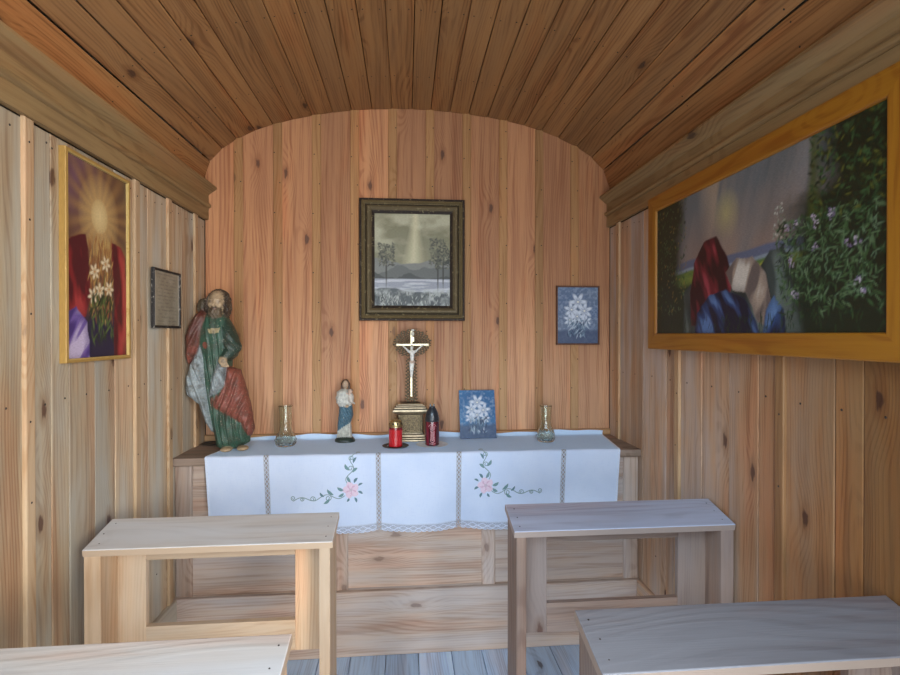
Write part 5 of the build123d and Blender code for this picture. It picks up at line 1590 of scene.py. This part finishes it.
for u, v, tall in ((0.065, 0.1, 0.25), (0.355, 0.08, 0.3), (0.385, 0.1, 0.22)):
    p.dab(u, v + tall * 0.4, tall * 0.5, 0.006, math.pi / 2, (48, 46, 38))
    p.scatter(150, (u - 0.045, u + 0.045), (v + tall * 0.5, v + tall), 0.014, 0.005, 0.7, 2.2,
        ((58, 58, 46), (84, 84, 66), (40, 40, 32), (110, 108, 84)))
p.scatter(220, (0, 0.42), (0, 0.07), 0.014, 0.003, 1.4, 0.6, ((54, 58, 54), (100, 106, 104), (176, 180, 172)))
canvas("centre_engraving", wall, p, 0.022, print_paper, "dark_gilt_frame", "centre_picture")
dark_gilt = banded("dark_gilt_moulding", [(0.0, (0.03, 0.018, 0.014)), (0.1, (0.03, 0.018, 0.014)),
    (0.16, (0.27, 0.2, 0.09)), (0.3, (0.21, 0.155, 0.07)), (0.36, (0.018, 0.012, 0.009)),
    (0.43, (0.14, 0.105, 0.05)), (0.66, (0.17, 0.125, 0.06)), (0.72, (0.035, 0.024, 0.018))], (0.34, 0.28, 0.15),
    0.3)
moulded_frame("centre_frame", wall, (0.593, 0.686), mm(0, 0, 0, 24, 3, 29, 9, 30, 12, 28, 15, 32, 20, 36, 26, 33,
    29, 28, 33, 26, 37, 28, 40, 36, 46, 43, 56, 45, 63, 41, 66, 36, 70, 34, 76, 29, 84, 24, 85, 21), dark_gilt,
    "dark_gilt_frame", "centre_picture", 0.0028, (5, 8, 0.005, 0.009))

# Right wall: a garden with cloaks laid over a stone seat, in a mitred pine frame
wall = Wall((1.13, 0.1495, 2.014), (0, -1, 0), (0, 0, 1))
p = Painting(1.117, 0.562, 0.004, (100, 106, 110))
p.wash(above(p.cloud(0.12, 6.0, -0.35), 0.5, 0.3) * 0.8, 74, 84, 88)
p.wash(above(p.cloud(0.1, 6.0, -0.3), 0.6, 0.2) * 0.5, 136, 130, 126)
p.wash(np.clip(1.2 - np.abs(p.u - 0.47 + 0.15 * (p.v - 0.3)) / 0.1, 0, 1)
    * above(p.cloud(0.06, 7.0, -0.2), 0.45, 0.3) * 0.7, 172, 152, 130)
p.wash(np.clip(1 - np.hypot((p.u - 0.5) / 0.08, (p.v - 0.43) / 0.1), 0, 1) * 0.8, 186, 176, 116)
p.wash(above(0.4 - p.v, 0, 0.2) * above(p.cloud(0.3), 0.35, 0.3) * above(p.u, 0.2, 0.2) * 0.7, 142, 116, 102)
ridge = 0.225 + 0.05 * p.cloud(0.3, 40)[0]
p.wash(above(ridge + 0.035 - p.v, 0, 0.008), 92, 98, 120)
p.wash(above(ridge + 0.004 - p.v, 0, 0.006), 128, 140, 150)
p.wash(above(ridge - 0.008 - p.v, 0, 0.008), 84, 108, 56)
p.wash(above(p.cloud(0.12, 0.3), 0.5, 0.2) * above(ridge - 0.01 - p.v, 0, 0.01) * above(p.v, 0.17, 0.05)
    * (0.35 + 0.65 * above(p.u, 0.6, 0.1)), 150, 150, 58)
p.wash(above(0.19 + 0.03 * p.cloud(0.2, 40)[0] - p.v, 0, 0.03), 34, 52, 34)
p.wash(above(0.09 - p.v, 0, 0.08), 24, 40, 28)
for stone_outline in (mm(220, -10, 225, 170, 270, 200, 720, 200, 800, -10),
        mm(700, -10, 680, 220, 720, 265, 780, 265, 830, 100, 900, 50, 910, -10)):
    p.drapery(stone_outline, 0.1, 0.2, (58, 68, 66), (28, 36, 36), (100, 112, 108))
p.drapery(mm(280, 30, 270, 160, 300, 280, 360, 355, 440, 360, 510, 280, 540, 180, 490, 70, 380, 15), 0.045, 0.35,
    (100, 30, 40), (48, 12, 22), (158, 62, 74))
p.drapery(mm(300, -10, 320, 80, 400, 140, 500, 155, 600, 120, 660, 45, 680, -10), 0.042, 0.6, (40, 60, 100),
    (16, 22, 44), (90, 122, 172))
p.drapery(mm(500, 220, 560, 260, 640, 255, 700, 190, 730, 90, 710, 20, 670, 35, 610, 135, 540, 150), 0.05, -0.3,
    (160, 142, 126), (100, 88, 84), (206, 198, 186))
p.drapery(mm(690, -10, 705, 70, 740, 115, 780, 70, 790, -10), 0.035, -0.3, (46, 72, 116), (18, 28, 54),
    (98, 132, 178))
greens = ((26, 46, 28), (40, 66, 38), (58, 86, 50), (18, 34, 20), (84, 108, 74))
p.wash(above(p.u - 0.76 - 0.1 * p.cloud(0.12), 0.0, 0.12) * above(0.36 + 0.12 * p.cloud(0.1) - p.v, 0, 0.06), 20,
    36, 22)
p.wash(above(p.u - 0.86 - 0.12 * p.cloud(0.12), 0.0, 0.12), 24, 34, 18)
p.wash(above(p.u - 0.86 - 0.03 * p.cloud(0.1), 0, 0.02) * above(0.91 - p.u, 0, 0.03) * above(p.v, 0.3, 0.05) * 0.8,
    66, 76, 32)
p.wash(above(0.2 - p.u + 0.09 * (p.cloud(0.1) - 0.5), 0.0, 0.08), 36, 42, 30)
p.scatter(420, (0.77, 1.117), (0.05, 0.34), 0.02, 0.005, 0.4, 1.6, greens)
p.scatter(520, (0.75, 1.1), (0.09, 0.34), 0.017, 0.0032, 1.0, 1.3, greens[1:] + ((92, 116, 88),))
p.scatter(320, (0.88, 1.117), (0.32, 0.562), 0.014, 0.005, 0.6, 1.8, greens[:4] + ((84, 88, 34), (40, 48, 18)))
p.scatter(380, (0.0, 0.24), (0.08, 0.56), 0.01, 0.0042, 0.8, 1.8, greens + ((76, 80, 52), (124, 106, 54)))
p.scatter(160, (0.0, 1.117), (0.0, 0.06), 0.02, 0.003, 1.45, 0.4, ((18, 38, 22), (34, 58, 32)))
for n in range(15):
    u, v = chance.uniform(0.78, 1.06), chance.uniform(0.09, 0.34)
    p.scatter(8, (u - 0.01, u + 0.01), (v - 0.01, v + 0.01), 0.006, 0.0036, 0, 3,
        ((150, 132, 158), (108, 92, 124), (188, 176, 190)))
p.scatter(40, (0.735, 0.785), (0.29, 0.4), 0.006, 0.004, 1.4, 1.0, ((190, 190, 178), (140, 146, 132),
    (96, 108, 88)))
canvas("garden_painting", wall, p, 0.02, oil, "orange_frame", "right_picture")
amber = wood("amber_frame", (0.35, 0.145, 0.012), (0.25, 0.085, 0.006), (0.11, 0.033, 0.005), 30, 0.14, rough=0.38,
    knots=0.0, relief=0.0003)
moulded_frame("right_frame", wall, (1.261, 0.706), mm(0, 0, 0, 27, 1.2, 29.2, 4, 30, 64.5, 30, 68, 29, 70.8, 25.5,
    72, 19.5), amber, "orange_frame", "right_picture", 0.2)

# Left wall: golden rays over crimson hangings and lilies, in a narrow gilt frame
wall = Wall((-1.15, 0.3715, 1.9835), (0, 1, 0), (0, 0, 1))
p = Painting(0.349, 0.669, 0.0034, (84, 54, 50))
middle = (0.18, 0.5)
angle, reach = np.arctan2(p.v - middle[1], p.u - middle[0]), np.hypot(p.u - middle[0], (p.v - middle[1]) * 0.8)
p.wash(above(p.cloud(0.2), 0.5, 0.4) * above(p.u, 0.25, 0.15), 38, 52, 46)
p.wash(above(p.cloud(0.2), 0.45, 0.4) * above(0.16 - p.u, 0, 0.2) * above(p.v, 0.4, 0.2), 98, 66, 92)
rays = np.sin(angle * 17 + 0.6 * np.sin(angle * 5)) * 0.5 + 0.5
p.wash(np.clip(1.1 - reach / 0.24, 0, 1) * (0.35 + 0.65 * rays), 158, 120, 72)
p.wash(np.clip(1.0 - reach / 0.12, 0, 1) ** 0.7, 192, 158, 104)
p.wash(np.clip(1.0 - reach / 0.05, 0, 1) ** 0.5, 214, 190, 136)
p.wash(above(0.12 + 0.05 * p.cloud(0.1) - p.v, 0, 0.05), 34, 32, 58)
for outline in (mm(-10, 120, -10, 370, 50, 405, 100, 420, 120, 330, 125, 200, 100, 140),
        mm(360, -10, 360, 360, 310, 410, 250, 420, 260, 320, 270, 180, 265, -10)):
    p.drapery(outline, 0.045, 0.1, (126, 34, 40), (76, 18, 30), (164, 58, 58))
p.drapery(mm(-10, -10, -10, 150, 50, 170, 110, 120, 120, -10), 0.05, -0.8, (112, 90, 156), (66, 48, 112),
    (198, 184, 208))
p.scatter(220, (0.12, 0.255), (0.13, 0.42), 0.03, 0.004, 1.5, 0.35, ((186, 154, 94), (160, 118, 68), (134, 82, 46)))
for u, v, lean in ((0.15, 0.3, 0.2), (0.215, 0.335, -0.15), (0.18, 0.235, 0.05), (0.14, 0.215, 0.3),
        (0.235, 0.245, -0.3)):
    p.dab(u + lean * 0.1, v - 0.1, 0.1, 0.004, math.pi / 2 + lean, (52, 78, 44))
    p.flower(u, v, 0.03, 6, (220, 204, 170), (176, 138, 88), (186, 122, 36))
p.scatter(70, (0.12, 0.26), (0.06, 0.22), 0.03, 0.006, 1.4, 0.7, ((48, 70, 38), (84, 104, 54), (30, 46, 30)))
canvas("rays_painting", wall, p, 0.012, oil, "gilt_frame", "left_tall_picture")
yellow_gilt = banded("yellow_gilt", [(0.0, (0.5, 0.29, 0.07)), (0.5, (0.52, 0.31, 0.08)), (0.9, (0.66, 0.45, 0.14)),
    (1.0, (0.7, 0.5, 0.18))], (0.4, 0.22, 0.06), 0.15, 0.4, 0.014)
moulded_frame("left_tall_frame", wall, (0.377, 0.697), mm(0, 0, 0, 19.5, 1.2, 21.5, 4, 22, 11.5, 22, 13.5, 20.5, 14,
    11.5), yellow_gilt, "gilt_frame", "left_tall_picture", 0.2)

# Left wall, small: an old sheet in a chipped black frame
wall = Wall((-1.138, 0.8665, 1.8885), (0, 1, 0), (0, 0, 1))
p = Painting(0.235, 0.24, 0.003, (152, 144, 126))
p.wash(above(p.cloud(0.05), 0.5, 0.3) * 0.6, 122, 112, 94)
p.wash(np.clip(np.sin(p.v * 2 * math.pi / 0.016), 0, 1) * above(p.cloud(0.02, 0.4), 0.5, 0.2)
    * above(0.088 - np.abs(p.u - 0.118), 0, 0.02) * 0.6, 96, 88, 78)
p.wash(above(np.abs(p.u - 0.118), 0.106, 0.004) * 0.7, 190, 184, 168)
canvas("old_sheet", wall, p, 0.0075, print_paper, "black_frame", "left_small_picture")
chipped = banded("chipped_black", [(0.0, (0.014, 0.013, 0.014)), (1.0, (0.02, 0.018, 0.018))], (0.5, 0.46, 0.38),
    0.0, 0.4, 0.022)
moulded_frame("left_small_frame", wall, (0.257, 0.262), mm(0, 0, 0, 11, 2, 13.5, 5, 14, 7.5, 12.5, 9.5, 11.5, 10.5,
    10, 11, 7), chipped, "black_frame", "left_small_picture", 0.02)

# Altar wall, right: pale lilies in a thin brown frame, and an unframed print that leans at the back of the altar
for name, node, wall, size, depth, ground, blue, slot in (("lily_print", "small_right_picture",
        Wall((0.9505, 1.341, 1.8395), (1, 0, 0), (0, 0, 1)), (0.239, 0.325), 0.012, (104, 118, 140), (82, 104, 138),
        "brown_frame"), ("leaning_print", "leaning_picture", None, (0.204, 0.272), 0.0, (58, 112, 158),
        (40, 88, 136), "blue_print")):
    if wall is None:
        lean = (0.09 - 0.009) / 0.272
        up = (0, lean, math.sqrt(1 - lean * lean))
        wall = Wall(np.array((0.355, 1.26, cloth_z + 0.0016)) + 0.136 * np.array(up), (1, 0, 0), up)
    p = Painting(*size, 0.0018, ground)
    p.wash(above(p.cloud(0.09), 0.5, 0.5) * 0.8, *blue)
    p.wash(above(p.cloud(0.012), 0.6, 0.3) * 0.35, 170, 184, 204)
    p.wash(above(0.06 + 0.03 * p.cloud(0.05) - p.v, 0, 0.02) * 0.8, 64, 76, 104)
    for k, (u, v, big) in enumerate(((0.5, 0.74, 0.13), (0.34, 0.6, 0.11), (0.66, 0.58, 0.12), (0.48, 0.48, 0.1),
            (0.7, 0.4, 0.08), (0.3, 0.42, 0.09))):
        p.dab(u * size[0] * 0.5 + 0.25 * size[0], v * size[1] * 0.6, size[1] * 0.26, 0.0022, 1.57 + (0.5 - u) * 1.2,
            (60, 84, 104))
        p.flower(u * size[0], v * size[1], big * size[1] * 1.3, 6, (206, 214, 226), (128, 142, 168),
            (236, 232, 214))
    p.scatter(60, (0.25 * size[0], 0.75 * size[0]), (0.12 * size[1], 0.42 * size[1]), 0.022, 0.005, 1.4, 0.9,
        ((76, 100, 124), (120, 142, 160), (48, 62, 88), (172, 186, 200)))
    canvas(name, wall, p, depth + (0.0122 if node == "leaning_picture" else 0), print_paper, slot, node)
    if node == "small_right_picture":
        brown = banded("brown_moulding", [(0.0, (0.13, 0.048, 0.022)), (1.0, (0.17, 0.066, 0.032))],
            (0.26, 0.12, 0.05), 0.0, 0.4, 0.012)
        moulded_frame("small_right_frame", wall, (0.257, 0.343), mm(0, 0, 0, 16.5, 1.5, 18, 7, 18, 9, 11.5), brown,
            slot, node, 0.2)
    else:
        moulded_frame("leaning_board", wall, size, mm(102, 0, 0, 0, 0, 11.5, 0.6, 12),
            banded("blue_board", [(0.0, (0.05, 0.14, 0.32)), (1.0, (0.04, 0.11, 0.27))], (0.2, 0.3, 0.45), 0.0, 0.5,
            0.01), slot, node, 0.05)
